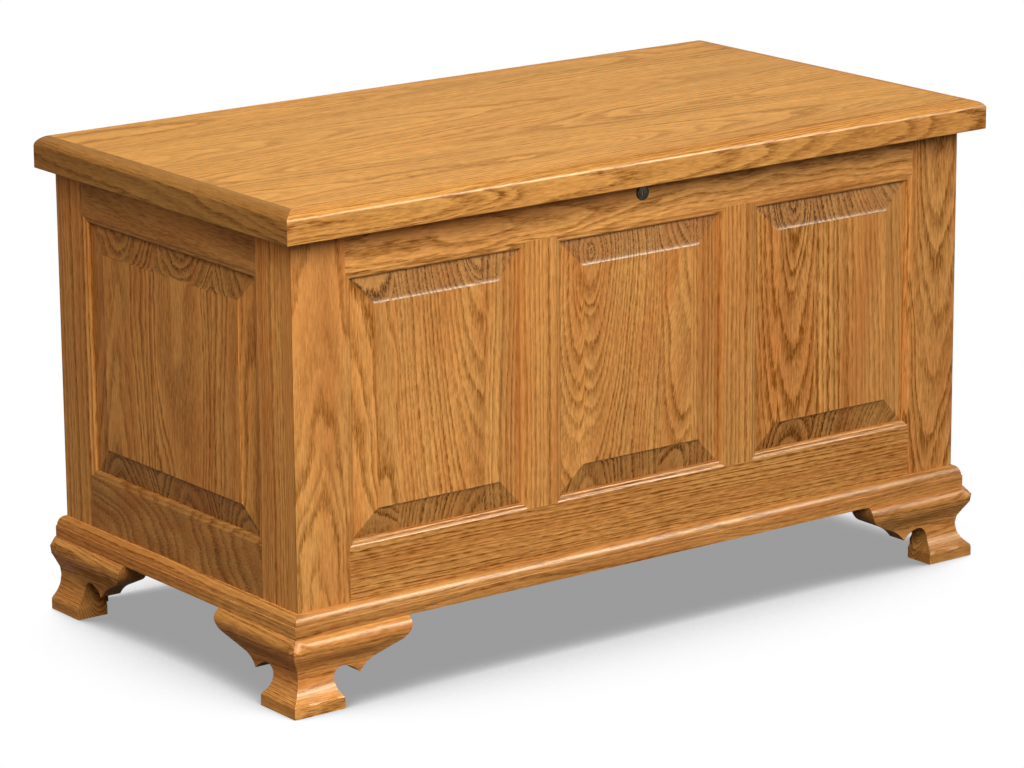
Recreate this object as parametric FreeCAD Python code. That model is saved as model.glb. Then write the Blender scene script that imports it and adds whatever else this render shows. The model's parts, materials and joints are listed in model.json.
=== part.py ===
import FreeCAD, Part
import math
import os

# Raised-panel oak blanket chest on ogee bracket feet, in millimetres.
# Frame: +X to the chest's right, +Y to its back, +Z up, origin on the floor under
# the centre of everything that stands out of the case.
V = FreeCAD.Vector

# ---- driving dimensions: the case ----
CASE_WIDTH = 1032.0
CASE_DEPTH = 518.0
CASE_HEIGHT = 491.0          # from the top of the feet to the top edge of the walls
STOCK = 19.0                 # thickness of the framing boards

# faces of the front frame, measured to the line where the moulded edge begins
FRONT_STILE = 76.0
FRONT_MULLION = 44.0
TOP_RAIL = 64.0
BOTTOM_RAIL = 94.0
# faces of the end frames
END_FRONT_STILE = 53.5
END_REAR_STILE = 62.0
# faces of the plain back frame, which sits in a rabbet of the end walls
BACK_STILE = 70.0
BACK_TOP_RAIL = 70.0
BACK_BOTTOM_RAIL = 100.0
RABBET_LIP = 9.5             # what is left of the end wall beside the back frame

# moulded inner edge: a quirk, a quarter round, then the panel groove
STICKING = 8.5
QUIRK = 1.2
LIP = 5.2                    # depth at which the quarter round ends
GROOVE_FRONT = 6.5
GROOVE_WIDTH = 6.0
GROOVE_DEPTH = 9.5
TENON_GAP = 0.5              # end of a stub tenon to the bottom of its groove

# raised panel: flat field, small shoulder, cove, margin that slopes down to the sight edge, tongue
PANEL_BEVEL = 33.5
COVE_WIDTH = 9.0
MARGIN_RISE = 3.3            # slope of the margin over its width
FIELD_DEPTH = 0.5            # field below the frame's face
SHOULDER = 0.8
TONGUE = 8.0
PANEL_FIT = 0.2              # play of a tongue in its groove, each side

# ---- driving dimensions: the bottom, base moulding and feet ----
CLEAT = 19.0
BOTTOM_THICKNESS = 12.0
BOTTOM_PLAY = 1.0
BASE_HEIGHT = 28.5
BASE_FASCIA = 15.0           # height of the flat part
BASE_PROJECTION = 11.0
BASE_STEP = 1.2
FOOT_HEIGHT = 94.0
FOOT_LENGTH = 152.0          # from the case's corner to the end of the scroll
FOOT_BULGE = 20.0            # how far the ogee stands out of the case
FOOT_HOLLOW = 4.7            # how far its hollow stands out
FOOT_TOP = 12.0
FOOT_INSIDE = 23.0           # how far the bracket's back reaches under the case
PAD_HEIGHT = 14.0
PAD_LENGTH = 52.0            # from the case's corner to the end of the pad
NECK_LENGTH = 46.0
CUSP_LENGTH = 84.5           # from the case's corner to the tip of the cusp
GLUE_BLOCK = 20.0

# ---- driving dimensions: the lid ----
LID_THICKNESS = 25.0
LID_EDGE_HEIGHT = 38.0
LID_EDGE_WIDTH = 22.0
LID_ROUNDOVER = 10.5         # height of the rounded top edge
LID_SIDE_GAP = 1.0           # case face to the back of the hanging edge
LID_FRONT_GAP = 7.0
REAR_OVERHANG = 12.0         # lid and rear feet behind the back wall
BATTEN_WIDTH = 60.0
BATTEN_THICKNESS = 19.0
BATTEN_INSET = 291.0         # end of the case to the batten's middle
BATTEN_CLEARANCE = 12.0

# ---- driving dimensions: hinges ----
HINGE_LENGTH = 76.0
HINGE_INSET = 136.0          # end of the case to the hinge's middle
LEAF_REACH = 21.0            # hinge axis to the leaf's inner edge
LEAF_THICKNESS = 2.0
LEAF_SET = 0.3               # leaf's face below the wood's face
BARREL_RADIUS = 4.5
BARREL_GAP = 0.5             # back wall to the barrel
KNUCKLES = 5
KNUCKLE_GAP = 0.3
PIN_RADIUS = 2.0
PIN_PROUD = 0.8              # pin past the end knuckles
NOTCH_ROOM = 3.0             # lid notch past the hinge, each way
RUNNING = 0.05               # radial clearance of pins, rivets and the lock plug
SWEEP = 0.4                  # radial room cut for a passing knuckle

# ---- driving dimensions: sliding lid stay ----
STAY_ARM = 200.0             # pivot to pin, and hinge axis to pivot
STAY_SLOPE = 8.0             # degrees, the track below level
STAY_DROP = 22.6             # pivot below the lid's underside
STAY_BAR = 16.0
STAY_PLATE = 2.5
STAY_FLANGE = 14.0           # how far the bracket's flange runs past its ear, each way
TRACK_STAND_OFF = 4.0
STAY_GAP = 2.0               # track to arm
STAY_PIN = 3.0               # radius
STAY_RIVET = 2.5             # radius
STAY_BUTTON = 1.8            # how far a button's rim stands out round its pin or rivet
STAY_BUTTON_HEIGHT = 1.2
PLATE_GAP = 0.3              # between a button or ear and the plate beside it
SLOT_PLAY = 0.2              # radial
OVERTRAVEL = 0.5             # slot left past the pin at both ends
NOTCH = 2.5                  # the pin drops this far to hold the lid open
LID_OPEN = 77.0              # degrees

# ---- driving dimensions: lock ----
LOCK_DROP = 28.0             # lock's axis below the top of the front wall
BEZEL_RADIUS = 9.5
BEZEL_HEIGHT = 2.0
LOCK_BARREL = 8.0            # radius
LOCK_TAIL = 8.0              # barrel behind the rail
NUT_ACROSS = 24.0
NUT_THICKNESS = 4.0
PLUG_PLAY = 0.1              # along its axis
PLUG_SINK = 0.6              # flange below the bezel's face
PLUG_RADIUS = 5.5
PLUG_FLANGE = 7.0
PLUG_FLANGE_HEIGHT = 1.4
PLUG_TANG = 5.5              # square end that the cam sits on
KEY_SLOT = (1.8, 7.0, 9.0)   # width, height, depth
CAM_THICKNESS = 2.0
CAM_HUB = 7.0
CAM_INNER = 17.0             # inner radius of the hook
CAM_OUTER = 22.0
CAM_ARM = 9.0                # width of the arm
CAM_HOOK = 60.0              # degrees that the hook runs round
CAM_GAP = 2.4                # cam to the keeper's plate
KEEPER_PLATE = 2.0
KEEPER_WIDTH = 17.0
KEEPER_FOOT = (37.0, 22.0)   # width, depth of the plate under the lid
KEEPER_EDGE = 4.0            # stud's middle to the hanging plate's lower edge
KEEPER_STUD = 2.5            # radius
STUD_DISTANCE = 13.0         # stud from the lock's axis
STUD_ANGLE = 130.0           # degrees from +X, seen from the front

# ---- places worked out from them ----
LID_FRONT_OVERHANG = LID_FRONT_GAP + LID_EDGE_WIDTH
LID_SIDE_OVERHANG = LID_SIDE_GAP + LID_EDGE_WIDTH
FRONT_REACH = max(LID_FRONT_OVERHANG, FOOT_BULGE)
REAR_REACH = max(REAR_OVERHANG, BASE_PROJECTION)
RIGHT = CASE_WIDTH / 2
LEFT = -RIGHT
FRONT = (FRONT_REACH - REAR_REACH - CASE_DEPTH) / 2
BACK = FRONT + CASE_DEPTH
CASE_TOP = FOOT_HEIGHT + CASE_HEIGHT
LID_TOP = CASE_TOP + LID_THICKNESS
GROOVE_BACK = GROOVE_FRONT + GROOVE_WIDTH
HINGE_Y = BACK + BARREL_GAP + BARREL_RADIUS
FAR = 60.0                   # reach of cutting solids past what they cut

U = V(1, 0, 0)
D = V(0, 1, 0)
Z = V(0, 0, 1)

parts = {}


# ---- drawing helpers ----
def line(a, b):
    return Part.LineSegment(V(*a, 0), V(*b, 0)).toShape()


def arc(a, middle, b):
    return Part.Arc(V(*a, 0), V(*middle, 0), V(*b, 0)).toShape()


def arc_through(*points):
    """Arcs one after another: every second point is an end, the others lie between."""
    return [arc(*points[n:n + 3]) for n in range(0, len(points) - 1, 2)]


def oval(upright, level):
    """Quarter of an oval in two arcs: leaves the first point upright, arrives level at the second."""
    start, end = V(*upright, 0), V(*level, 0)
    corner = V(level[0], upright[1], 0)
    side, rise = start - corner, end - corner
    long, short = (side, rise) if side.Length > rise.Length else (rise, side)
    diagonal, excess = math.hypot(long.Length, short.Length), long.Length - short.Length
    small = (diagonal - excess) / 2 * diagonal / long.Length
    large = (diagonal + excess) / 2 * diagonal / short.Length
    tight = corner + long * (1 - small / long.Length)
    wide = corner + short * (1 - large / short.Length)
    joint = tight + (tight - wide).normalize() * small

    def round_to(centre, radius, a, b):
        middle = centre + ((a + b) / 2 - centre).normalize() * radius
        return Part.Arc(a, middle, b).toShape()

    long_end, short_end = corner + long, corner + short
    arcs = [round_to(tight, small, long_end, joint), round_to(wide, large, joint, short_end)]
    return arcs if long_end == start else arcs[::-1]


def bow(tangent, end):
    """Arc that starts along x at its first point and bends to its second."""
    run, rise = end[0] - tangent[0], end[1] - tangent[1]
    radius = (run ** 2 + rise ** 2) / (2 * rise)
    turn = math.asin(run / radius) / 2
    middle = (tangent[0] + radius * math.sin(turn), tangent[1] + radius * (1 - math.cos(turn)))
    return arc(tangent, middle, end)


def polygon(*points):
    closed = [V(x, y, 0) for x, y in points] + [V(*points[0], 0)]
    return Part.Face(Part.makePolygon(closed))


def face(*edges):
    return Part.Face(Part.Wire(edges))


def placement(origin, x_dir, y_dir):
    z_dir = x_dir.cross(y_dir)
    return FreeCAD.Placement(FreeCAD.Matrix(
        x_dir.x, y_dir.x, z_dir.x, origin.x,
        x_dir.y, y_dir.y, z_dir.y, origin.y,
        x_dir.z, y_dir.z, z_dir.z, origin.z,
        0, 0, 0, 1))


def prism(flat, length, origin, x_dir, y_dir):
    """The flat XY face, laid on x_dir and y_dir at origin and drawn out along x_dir × y_dir."""
    solid = flat.extrude(V(0, 0, length))
    solid.Placement = placement(origin, x_dir, y_dir)
    return solid


def block(low, high):
    size = V(*high) - V(*low)
    return Part.makeBox(size.x, size.y, size.z, V(*low))


def rod(radius, start, end):
    axis = V(*end) - V(*start)
    return Part.makeCylinder(radius, axis.Length, V(*start), axis)


def moved(shape, place):
    shape.Placement = place.multiply(shape.Placement)
    return shape


def one(shape):
    """The single solid that an operation leaves."""
    solid, = shape.removeSplitter().Solids
    return solid


def cut(shape, *tools):
    return one(shape.cut(list(tools)))


def fuse(shape, *others):
    return one(shape.fuse(list(others)))


# ---- frame-and-panel walls, drawn flat: x across, y into the chest, z up ----
def edge_run(at, out, kind):
    """One long edge of a framing board, from its face to its back; out is +1 or -1."""
    plain = [(at, 0), (at, STOCK)]
    groove = [(at, GROOVE_FRONT), (at - out * GROOVE_DEPTH, GROOVE_FRONT),
              (at - out * GROOVE_DEPTH, GROOVE_BACK), (at, GROOVE_BACK), (at, STOCK)]
    if kind == "plain":
        points = plain
        edges = []
    elif kind == "grooved":
        points = plain[:1] + groove
        edges = []
    else:
        shoulder = (at - out * STICKING, QUIRK)
        points = [(at, LIP)] + groove
        edges = [line((at - out * STICKING, 0), shoulder), bow(shoulder, (at, LIP))]
    edges += [line(a, b) for a, b in zip(points, points[1:])]
    start = (at - out * STICKING, 0) if kind == "moulded" else points[0]
    return edges, start, points[-1]


def section(width, near, far):
    """Cross-section of a framing board, face at y = 0, with its two edges worked as named."""
    far_edges, far_face, far_back = edge_run(width, 1, far)
    near_edges, near_face, near_back = edge_run(0, -1, near)
    return face(*far_edges, line(far_back, near_back), *near_edges[::-1], line(near_face, far_face))


def raised_panel(left, right, low, high):
    """A panel whose sight edges are given: tongues in the grooves, coved bevels, flat field."""
    tongue_front = GROOVE_FRONT + PANEL_FIT
    panel = block((left - TONGUE, FIELD_DEPTH, low - TONGUE),
                  (right + TONGUE, GROOVE_BACK - PANEL_FIT, high + TONGUE))
    ledge = FIELD_DEPTH + SHOULDER
    outside = PANEL_BEVEL + TONGUE + 1
    cove_end = (COVE_WIDTH, tongue_front - MARGIN_RISE)
    waste = face(line((0, -1), (0, ledge)),
                 bow(cove_end, (0, ledge)),
                 line(cove_end, (PANEL_BEVEL, tongue_front)),
                 line((PANEL_BEVEL, tongue_front), (outside, tongue_front)),
                 line((outside, tongue_front), (outside, -1)),
                 line((outside, -1), (0, -1)))
    wide = right - left + 2 * FAR
    tall = high - low + 2 * FAR
    cuts = [prism(waste, tall, V(right - PANEL_BEVEL, 0, low - FAR), U, D),
            prism(waste, tall, V(left + PANEL_BEVEL, 0, high + FAR), -U, D),
            prism(waste, wide, V(right + FAR, 0, high - PANEL_BEVEL), Z, D),
            prism(waste, wide, V(left - FAR, 0, low + PANEL_BEVEL), -Z, D)]
    return cut(panel, *cuts)


def flat_panel(left, right, low, high):
    return block((left - TONGUE, GROOVE_FRONT + PANEL_FIT, low - TONGUE),
                 (right + TONGUE, GROOVE_BACK - PANEL_FIT, high + TONGUE))


def framed_wall(width, left_stile, right_stile, top_rail, bottom_rail, raised, mullions=0):
    """Stiles, coped rails and mullions with stub tenons, and the panels in their grooves."""
    edge, stick = ("moulded", STICKING) if raised else ("grooved", 0.0)
    height = CASE_HEIGHT
    wall = {
        "left_stile": prism(section(left_stile + stick, "plain", edge), height, V(0, 0, 0), U, D),
        "right_stile": prism(section(right_stile + stick, edge, "plain"), height,
                             V(width - right_stile - stick, 0, 0), U, D)}

    rail_end = V(width - right_stile, 0, 0)
    rail_length = width - left_stile - right_stile
    reach = GROOVE_DEPTH - TENON_GAP - stick
    tenon_left = left_stile - reach
    tenon_right = width - right_stile + reach
    solid_bottom = bottom_rail + stick - GROOVE_DEPTH
    solid_top = height - (top_rail + stick - GROOVE_DEPTH)
    rails = {
        "bottom_rail": (section(bottom_rail + stick, "plain", edge), 0, (0, solid_bottom)),
        "top_rail": (section(top_rail + stick, edge, "plain"), height - top_rail - stick,
                     (solid_top, height))}
    stiles = list(wall.values())
    for name, (profile, low, (tenon_low, tenon_high)) in rails.items():
        blank = prism(profile, rail_length, rail_end + V(0, 0, low), Z, D)
        tenons = block((tenon_left, GROOVE_FRONT, tenon_low),
                       (tenon_right, GROOVE_BACK, tenon_high))
        wall[name] = cut(blank.fuse(tenons), *stiles)

    opening = (rail_length - mullions * FRONT_MULLION) / (mullions + 1)
    lefts = [left_stile]
    for number in range(mullions):
        start = lefts[-1] + opening
        blank = prism(section(FRONT_MULLION + 2 * stick, edge, edge),
                      height - bottom_rail - top_rail, V(start - stick, 0, bottom_rail), U, D)
        tenon = block((start - reach, GROOVE_FRONT, bottom_rail - reach),
                      (start + FRONT_MULLION + reach, GROOVE_BACK, height - top_rail + reach))
        core = block((start - stick + GROOVE_DEPTH, GROOVE_FRONT, bottom_rail - reach),
                     (start + FRONT_MULLION + stick - GROOVE_DEPTH, GROOVE_BACK,
                      height - top_rail + reach))
        wall["mullion_%d" % number] = cut(blank.fuse(tenon.common(core)),
                                          wall["bottom_rail"], wall["top_rail"])
        lefts.append(start + FRONT_MULLION)

    fill = raised_panel if raised else flat_panel
    for number, left in enumerate(lefts):
        wall["panel_%d" % number] = fill(left + stick, left + opening - stick,
                                         bottom_rail + stick, height - top_rail - stick)
    return wall


def front_wall():
    wall = framed_wall(CASE_WIDTH, FRONT_STILE, FRONT_STILE, TOP_RAIL, BOTTOM_RAIL, True, 2)
    names = {"mullion_0": "left_mullion", "mullion_1": "right_mullion", "panel_0": "left_panel",
             "panel_1": "middle_panel", "panel_2": "right_panel"}
    place = placement(V(LEFT, FRONT, FOOT_HEIGHT), U, D)
    for key, solid in wall.items():
        parts["front_" + names.get(key, key)] = moved(solid, place)


def end_walls():
    """The two ends fit behind the front frame; a rabbet in each rear stile takes the back."""
    depth = CASE_DEPTH - STOCK
    tall = (0, CASE_HEIGHT)
    walls = {
        "left": (END_REAR_STILE, END_FRONT_STILE, placement(V(LEFT, BACK, FOOT_HEIGHT), -D, U),
                 {"left_stile": "rear_stile", "right_stile": "front_stile"}, (0, STOCK)),
        "right": (END_FRONT_STILE, END_REAR_STILE,
                  placement(V(RIGHT, FRONT + STOCK, FOOT_HEIGHT), D, -U),
                  {"left_stile": "front_stile", "right_stile": "rear_stile"},
                  (depth - STOCK, depth))}
    for side, (left_stile, right_stile, place, names, rabbet) in walls.items():
        wall = framed_wall(depth, left_stile, right_stile, TOP_RAIL, BOTTOM_RAIL, True)
        channel = block((rabbet[0], RABBET_LIP, tall[0]), (rabbet[1], STOCK, tall[1]))
        for key, solid in wall.items():
            name = names.get(key, key.replace("_0", ""))
            if name == "rear_stile":
                solid = cut(solid, channel)
            parts["%s_%s" % (side, name)] = moved(solid, place)


def back_wall():
    width = CASE_WIDTH - 2 * RABBET_LIP
    wall = framed_wall(width, BACK_STILE, BACK_STILE, BACK_TOP_RAIL, BACK_BOTTOM_RAIL, False)
    place = placement(V(RIGHT - RABBET_LIP, BACK, FOOT_HEIGHT), -U, -D)
    # seen from behind, the wall's own left is the chest's right
    names = {"left_stile": "right_stile", "right_stile": "left_stile", "panel_0": "panel"}
    for key, solid in wall.items():
        parts["back_" + names.get(key, key)] = moved(solid, place)


# ---- bottom ----
def bottom():
    """A loose board on cleats that are glued round the inside of the bottom rails."""
    left, right = LEFT + STOCK, RIGHT - STOCK
    front, back = FRONT + STOCK, BACK - STOCK
    low, high = FOOT_HEIGHT, FOOT_HEIGHT + CLEAT
    cleats = [block((left, front, low), (right, front + CLEAT, high)),
              block((left, back - CLEAT, low), (right, back, high)),
              block((left, front + CLEAT, low), (left + CLEAT, back - CLEAT, high)),
              block((right - CLEAT, front + CLEAT, low), (right, back - CLEAT, high))]
    parts["bottom_cleats"] = Part.makeCompound(cleats)
    parts["bottom_board"] = block((left + BOTTOM_PLAY, front + BOTTOM_PLAY, high),
                                  (right - BOTTOM_PLAY, back - BOTTOM_PLAY,
                                   high + BOTTOM_THICKNESS))


# ---- base moulding ----
def mitred_sides(left, right, front, back, reach):
    """Four plan wedges round a rectangle, split at 45 degrees at its corners."""
    plans = {
        "front": ((left, front), (right, front), (right + reach, front - reach),
                  (left - reach, front - reach)),
        "back": ((left, back), (left - reach, back + reach), (right + reach, back + reach),
                 (right, back)),
        "left": ((left, front), (left - reach, front - reach), (left - reach, back + reach),
                 (left, back)),
        "right": ((right, front), (right, back), (right + reach, back + reach),
                  (right + reach, front - reach))}
    runs = {
        "front": (V(right + reach, front, 0), -D, right - left + 2 * reach),
        "back": (V(left - reach, back, 0), D, right - left + 2 * reach),
        "left": (V(left, front - reach, 0), -U, back - front + 2 * reach),
        "right": (V(right, back + reach, 0), U, back - front + 2 * reach)}
    return plans, runs


def base_moulding():
    inner = BASE_PROJECTION - BASE_STEP
    profile = face(line((0, 0), (BASE_PROJECTION, 0)),
                   line((BASE_PROJECTION, 0), (BASE_PROJECTION, BASE_FASCIA)),
                   line((BASE_PROJECTION, BASE_FASCIA), (inner, BASE_FASCIA)),
                   *oval((inner, BASE_FASCIA), (0, BASE_HEIGHT)),
                   line((0, BASE_HEIGHT), (0, 0)))
    plans, runs = mitred_sides(LEFT, RIGHT, FRONT, BACK, FAR)
    for side in plans:
        start, outward, length = runs[side]
        stick = prism(profile, length, start + V(0, 0, FOOT_HEIGHT), outward, Z)
        wedge = polygon(*plans[side]).extrude(V(0, 0, CASE_HEIGHT))
        wedge.translate(V(0, 0, FOOT_HEIGHT))
        parts["base_moulding_" + side] = one(stick.common(wedge))


# ---- feet: drawn at a corner at the origin, x along the wall, -y outwards ----
def ogee_stick(start, end):
    """The bracket's stock: pad, hollow and bulge in five arcs, drawn out along the wall."""
    rise = FOOT_HEIGHT - PAD_HEIGHT
    lip = (FOOT_BULGE - 0.8, PAD_HEIGHT + 1.5)
    turn = (FOOT_HOLLOW + 5.3, PAD_HEIGHT + 0.59 * rise)
    curve = arc_through(lip,
                        (FOOT_HOLLOW + 5.4, PAD_HEIGHT + 0.14 * rise),
                        (FOOT_HOLLOW, PAD_HEIGHT + 0.35 * rise),
                        (FOOT_HOLLOW + 1.4, PAD_HEIGHT + 0.48 * rise),
                        turn,
                        (FOOT_BULGE - 2.5, PAD_HEIGHT + 0.72 * rise),
                        (FOOT_BULGE, PAD_HEIGHT + 0.85 * rise),
                        (FOOT_BULGE - 2.6, PAD_HEIGHT + 0.94 * rise),
                        (FOOT_TOP, FOOT_HEIGHT))
    profile = face(line((-FOOT_INSIDE, 0), (FOOT_BULGE, 0)),
                   line((FOOT_BULGE, 0), (FOOT_BULGE, PAD_HEIGHT)),
                   line((FOOT_BULGE, PAD_HEIGHT), lip),
                   *curve,
                   line((FOOT_TOP, FOOT_HEIGHT), (-FOOT_INSIDE, FOOT_HEIGHT)),
                   line((-FOOT_INSIDE, FOOT_HEIGHT), (-FOOT_INSIDE, 0)))
    return prism(profile, end - start, V(end, 0, 0), -D, Z)


def scroll(start):
    """The bracket's outline seen square on: pad, neck, arch, cusp and scroll, all arcs."""
    rise = FOOT_HEIGHT - PAD_HEIGHT
    arch = (NECK_LENGTH + CUSP_LENGTH) / 2
    wing = FOOT_LENGTH - CUSP_LENGTH
    cusp = (CUSP_LENGTH, PAD_HEIGHT + 0.27 * rise)
    saddle = (CUSP_LENGTH + 0.29 * wing, PAD_HEIGHT + 0.47 * rise)
    shoulder = (CUSP_LENGTH + 0.76 * wing, PAD_HEIGHT + 0.65 * rise)
    nose = (FOOT_LENGTH, PAD_HEIGHT + 0.93 * rise)
    neck = arc_through((PAD_LENGTH, PAD_HEIGHT),
                       (NECK_LENGTH + 0.9, PAD_HEIGHT + 0.13 * rise),
                       (NECK_LENGTH, PAD_HEIGHT + 0.27 * rise),
                       (NECK_LENGTH + 4.7, PAD_HEIGHT + 0.385 * rise),
                       (arch - 4, PAD_HEIGHT + 0.43 * rise),
                       (arch + 8, PAD_HEIGHT + 0.375 * rise),
                       cusp)
    wave = arc_through(cusp,
                       (CUSP_LENGTH + 0.13 * wing, PAD_HEIGHT + 0.385 * rise),
                       saddle)
    tip = arc_through(shoulder,
                      (CUSP_LENGTH + 0.93 * wing, PAD_HEIGHT + 0.76 * rise),
                      nose)
    return face(line((start, 0), (PAD_LENGTH, 0)),
                line((PAD_LENGTH, 0), (PAD_LENGTH, PAD_HEIGHT)),
                *neck, *wave, line(saddle, shoulder), *tip,
                line(nose, (FOOT_LENGTH, FOOT_HEIGHT)),
                line((FOOT_LENGTH, FOOT_HEIGHT), (start, FOOT_HEIGHT)),
                line((start, FOOT_HEIGHT), (start, 0)))


def sawn(stock, start):
    """Stock sawn to the scroll outline."""
    outline = prism(scroll(start), 2 * FAR, V(0, FAR, 0), U, Z)
    return one(stock.common(outline))


def mitred_bracket():
    stock = sawn(ogee_stick(-FAR, FOOT_LENGTH + FAR), -FAR)
    keep = polygon((-FAR, -FAR), (FOOT_LENGTH + FAR, -FAR), (FOOT_LENGTH + FAR, FAR), (FAR, FAR))
    return one(stock.common(keep.extrude(V(0, 0, FOOT_HEIGHT))))


def square_bracket():
    """Ogee side bracket of a rear foot, cut off square behind the back wall."""
    return sawn(ogee_stick(-REAR_OVERHANG, FOOT_LENGTH + FAR), -REAR_OVERHANG)


def rear_brace():
    """Plain board behind a rear foot, butted against the side bracket."""
    board = block((FOOT_INSIDE, -REAR_OVERHANG, 0),
                  (FOOT_LENGTH + FAR, STOCK - REAR_OVERHANG, FOOT_HEIGHT))
    return sawn(board, FOOT_INSIDE)


def glue_block(beside, behind):
    leg = GLUE_BLOCK
    plan = polygon((beside, behind), (beside + leg, behind), (beside, behind + leg))
    solid = plan.extrude(V(0, 0, FOOT_HEIGHT - PAD_HEIGHT))
    solid.translate(V(0, 0, PAD_HEIGHT))
    return solid


def feet():
    """Each shape is drawn for the left front corner, then mirrored to its own corner."""
    across = V(1, -1, 0)
    corner = V(LEFT, FRONT, 0)
    middle_y = V(0, (FRONT + BACK) / 2, 0)
    front_face = mitred_bracket()
    front_side = front_face.mirror(V(0, 0, 0), across)
    rear_side = square_bracket().mirror(V(0, 0, 0), across)
    rear_back = rear_brace()
    blocks = []
    corners = (("front", ("front", front_face), ("side", front_side),
                glue_block(FOOT_INSIDE, FOOT_INSIDE)),
               ("rear", ("back", rear_back), ("side", rear_side),
                glue_block(FOOT_INSIDE, STOCK - REAR_OVERHANG)))
    for end, wide, side, corner_block in corners:
        solids = [wide[1], side[1], corner_block]
        for solid in solids:
            solid.translate(corner)
        if end == "rear":
            solids = [solid.mirror(middle_y, D) for solid in solids]
        for hand, facing in (("left", solids),
                             ("right", [solid.mirror(V(0, 0, 0), U) for solid in solids])):
            parts["foot_%s_%s_%s" % (end, hand, wide[0])] = one(facing[0])
            parts["foot_%s_%s_%s" % (end, hand, side[0])] = one(facing[1])
            blocks.append(facing[2])
    parts["foot_glue_blocks"] = Part.makeCompound(blocks)


# ---- lid ----
def lid():
    left, right = LEFT - LID_SIDE_GAP, RIGHT + LID_SIDE_GAP
    front, back = FRONT - LID_FRONT_GAP, BACK + REAR_OVERHANG
    parts["lid_panel"] = block((left, front, CASE_TOP), (right, back, LID_TOP))
    shoulder = LID_EDGE_HEIGHT - LID_ROUNDOVER
    profile = face(line((0, 0), (LID_EDGE_WIDTH, 0)),
                   line((LID_EDGE_WIDTH, 0), (LID_EDGE_WIDTH, shoulder)),
                   *oval((LID_EDGE_WIDTH, shoulder), (0, LID_EDGE_HEIGHT)),
                   line((0, LID_EDGE_HEIGHT), (0, 0)))
    plans, runs = mitred_sides(left, right, front, back, FAR)
    low = LID_TOP - LID_EDGE_HEIGHT
    tidy_back = block((left - 2 * FAR, back, low - 1), (right + 2 * FAR, back + 2 * FAR, LID_TOP + 1))
    for side in ("front", "left", "right"):
        start, outward, length = runs[side]
        stick = prism(profile, length, start + V(0, 0, low), outward, Z)
        wedge = polygon(*plans[side]).extrude(V(0, 0, LID_EDGE_HEIGHT))
        wedge.translate(V(0, 0, low))
        parts["lid_moulding_" + side] = one(stick.common(wedge).cut(tidy_back))

    battens = []
    low = CASE_TOP - BATTEN_THICKNESS
    ends = (FRONT + STOCK + BATTEN_CLEARANCE, BACK - STOCK - BATTEN_CLEARANCE)
    for middle in (LEFT + BATTEN_INSET, RIGHT - BATTEN_INSET):
        slope = BATTEN_THICKNESS / 2
        side_view = polygon((ends[0], CASE_TOP), (ends[0], CASE_TOP - slope), (ends[0] + slope, low),
                            (ends[1] - slope, low), (ends[1], CASE_TOP - slope), (ends[1], CASE_TOP))
        battens.append(prism(side_view, BATTEN_WIDTH, V(middle - BATTEN_WIDTH / 2, 0, 0), D, Z))
    parts["lid_battens"] = Part.makeCompound(battens)


# ---- butt hinges ----
def knuckle_spans(start, taken):
    pitch = HINGE_LENGTH / KNUCKLES
    return [(start + n * pitch + KNUCKLE_GAP / 2, start + (n + 1) * pitch - KNUCKLE_GAP / 2)
            for n in range(KNUCKLES) if (n % 2 == 0) == taken]


def leaf(middle, above):
    """One leaf: its plate, its own knuckles, and room for the other leaf's."""
    start = middle - HINGE_LENGTH / 2
    side = 1 if above else -1
    levels = sorted((CASE_TOP + side * LEAF_SET, CASE_TOP + side * (LEAF_SET + LEAF_THICKNESS)))
    plate = block((start, HINGE_Y - LEAF_REACH, levels[0]), (start + HINGE_LENGTH, HINGE_Y, levels[1]))

    def barrels(spans, radius, extra=0.0):
        return [rod(radius, (a - extra, HINGE_Y, CASE_TOP), (b + extra, HINGE_Y, CASE_TOP))
                for a, b in spans]

    room = barrels(knuckle_spans(start, above), BARREL_RADIUS + SWEEP, KNUCKLE_GAP)
    own = barrels(knuckle_spans(start, not above), BARREL_RADIUS)
    bore = rod(PIN_RADIUS + RUNNING, (start - 1, HINGE_Y, CASE_TOP),
               (start + HINGE_LENGTH + 1, HINGE_Y, CASE_TOP))
    return cut(plate.cut(room).fuse(own), bore)


def hinge_pin(middle):
    reach = HINGE_LENGTH / 2 + PIN_PROUD
    return rod(PIN_RADIUS, (middle - reach, HINGE_Y, CASE_TOP), (middle + reach, HINGE_Y, CASE_TOP))


def hinges():
    pins = []
    for hand, middle in (("left", LEFT + HINGE_INSET), ("right", RIGHT - HINGE_INSET)):
        low, high = middle - HINGE_LENGTH / 2, middle + HINGE_LENGTH / 2
        seat = HINGE_Y - LEAF_REACH
        deep = LEAF_SET + LEAF_THICKNESS
        gain = block((low, seat, CASE_TOP - deep), (high, BACK + 1, CASE_TOP + 1))
        parts["back_top_rail"] = cut(parts["back_top_rail"], gain)
        room = BARREL_RADIUS + SWEEP
        lid_gain = block((low, seat, CASE_TOP - 1), (high, HINGE_Y, CASE_TOP + deep))
        notch = block((low - NOTCH_ROOM, HINGE_Y - room, CASE_TOP - 1),
                      (high + NOTCH_ROOM, HINGE_Y + REAR_OVERHANG, CASE_TOP + room))
        parts["lid_panel"] = cut(parts["lid_panel"], lid_gain, notch)
        parts["hinge_case_leaf_" + hand] = leaf(middle, False)
        parts["hinge_lid_leaf_" + hand] = leaf(middle, True)
        pins.append(hinge_pin(middle))
    parts["hinge_pins"] = Part.makeCompound(pins)


# ---- sliding lid stay ----
def round_bar(start, end, radius):
    return face(line((start, -radius), (end, -radius)),
                arc((end, -radius), (end + radius, 0), (end, radius)),
                line((end, radius), (start, radius)),
                arc((start, radius), (start - radius, 0), (start, -radius)))


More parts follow.
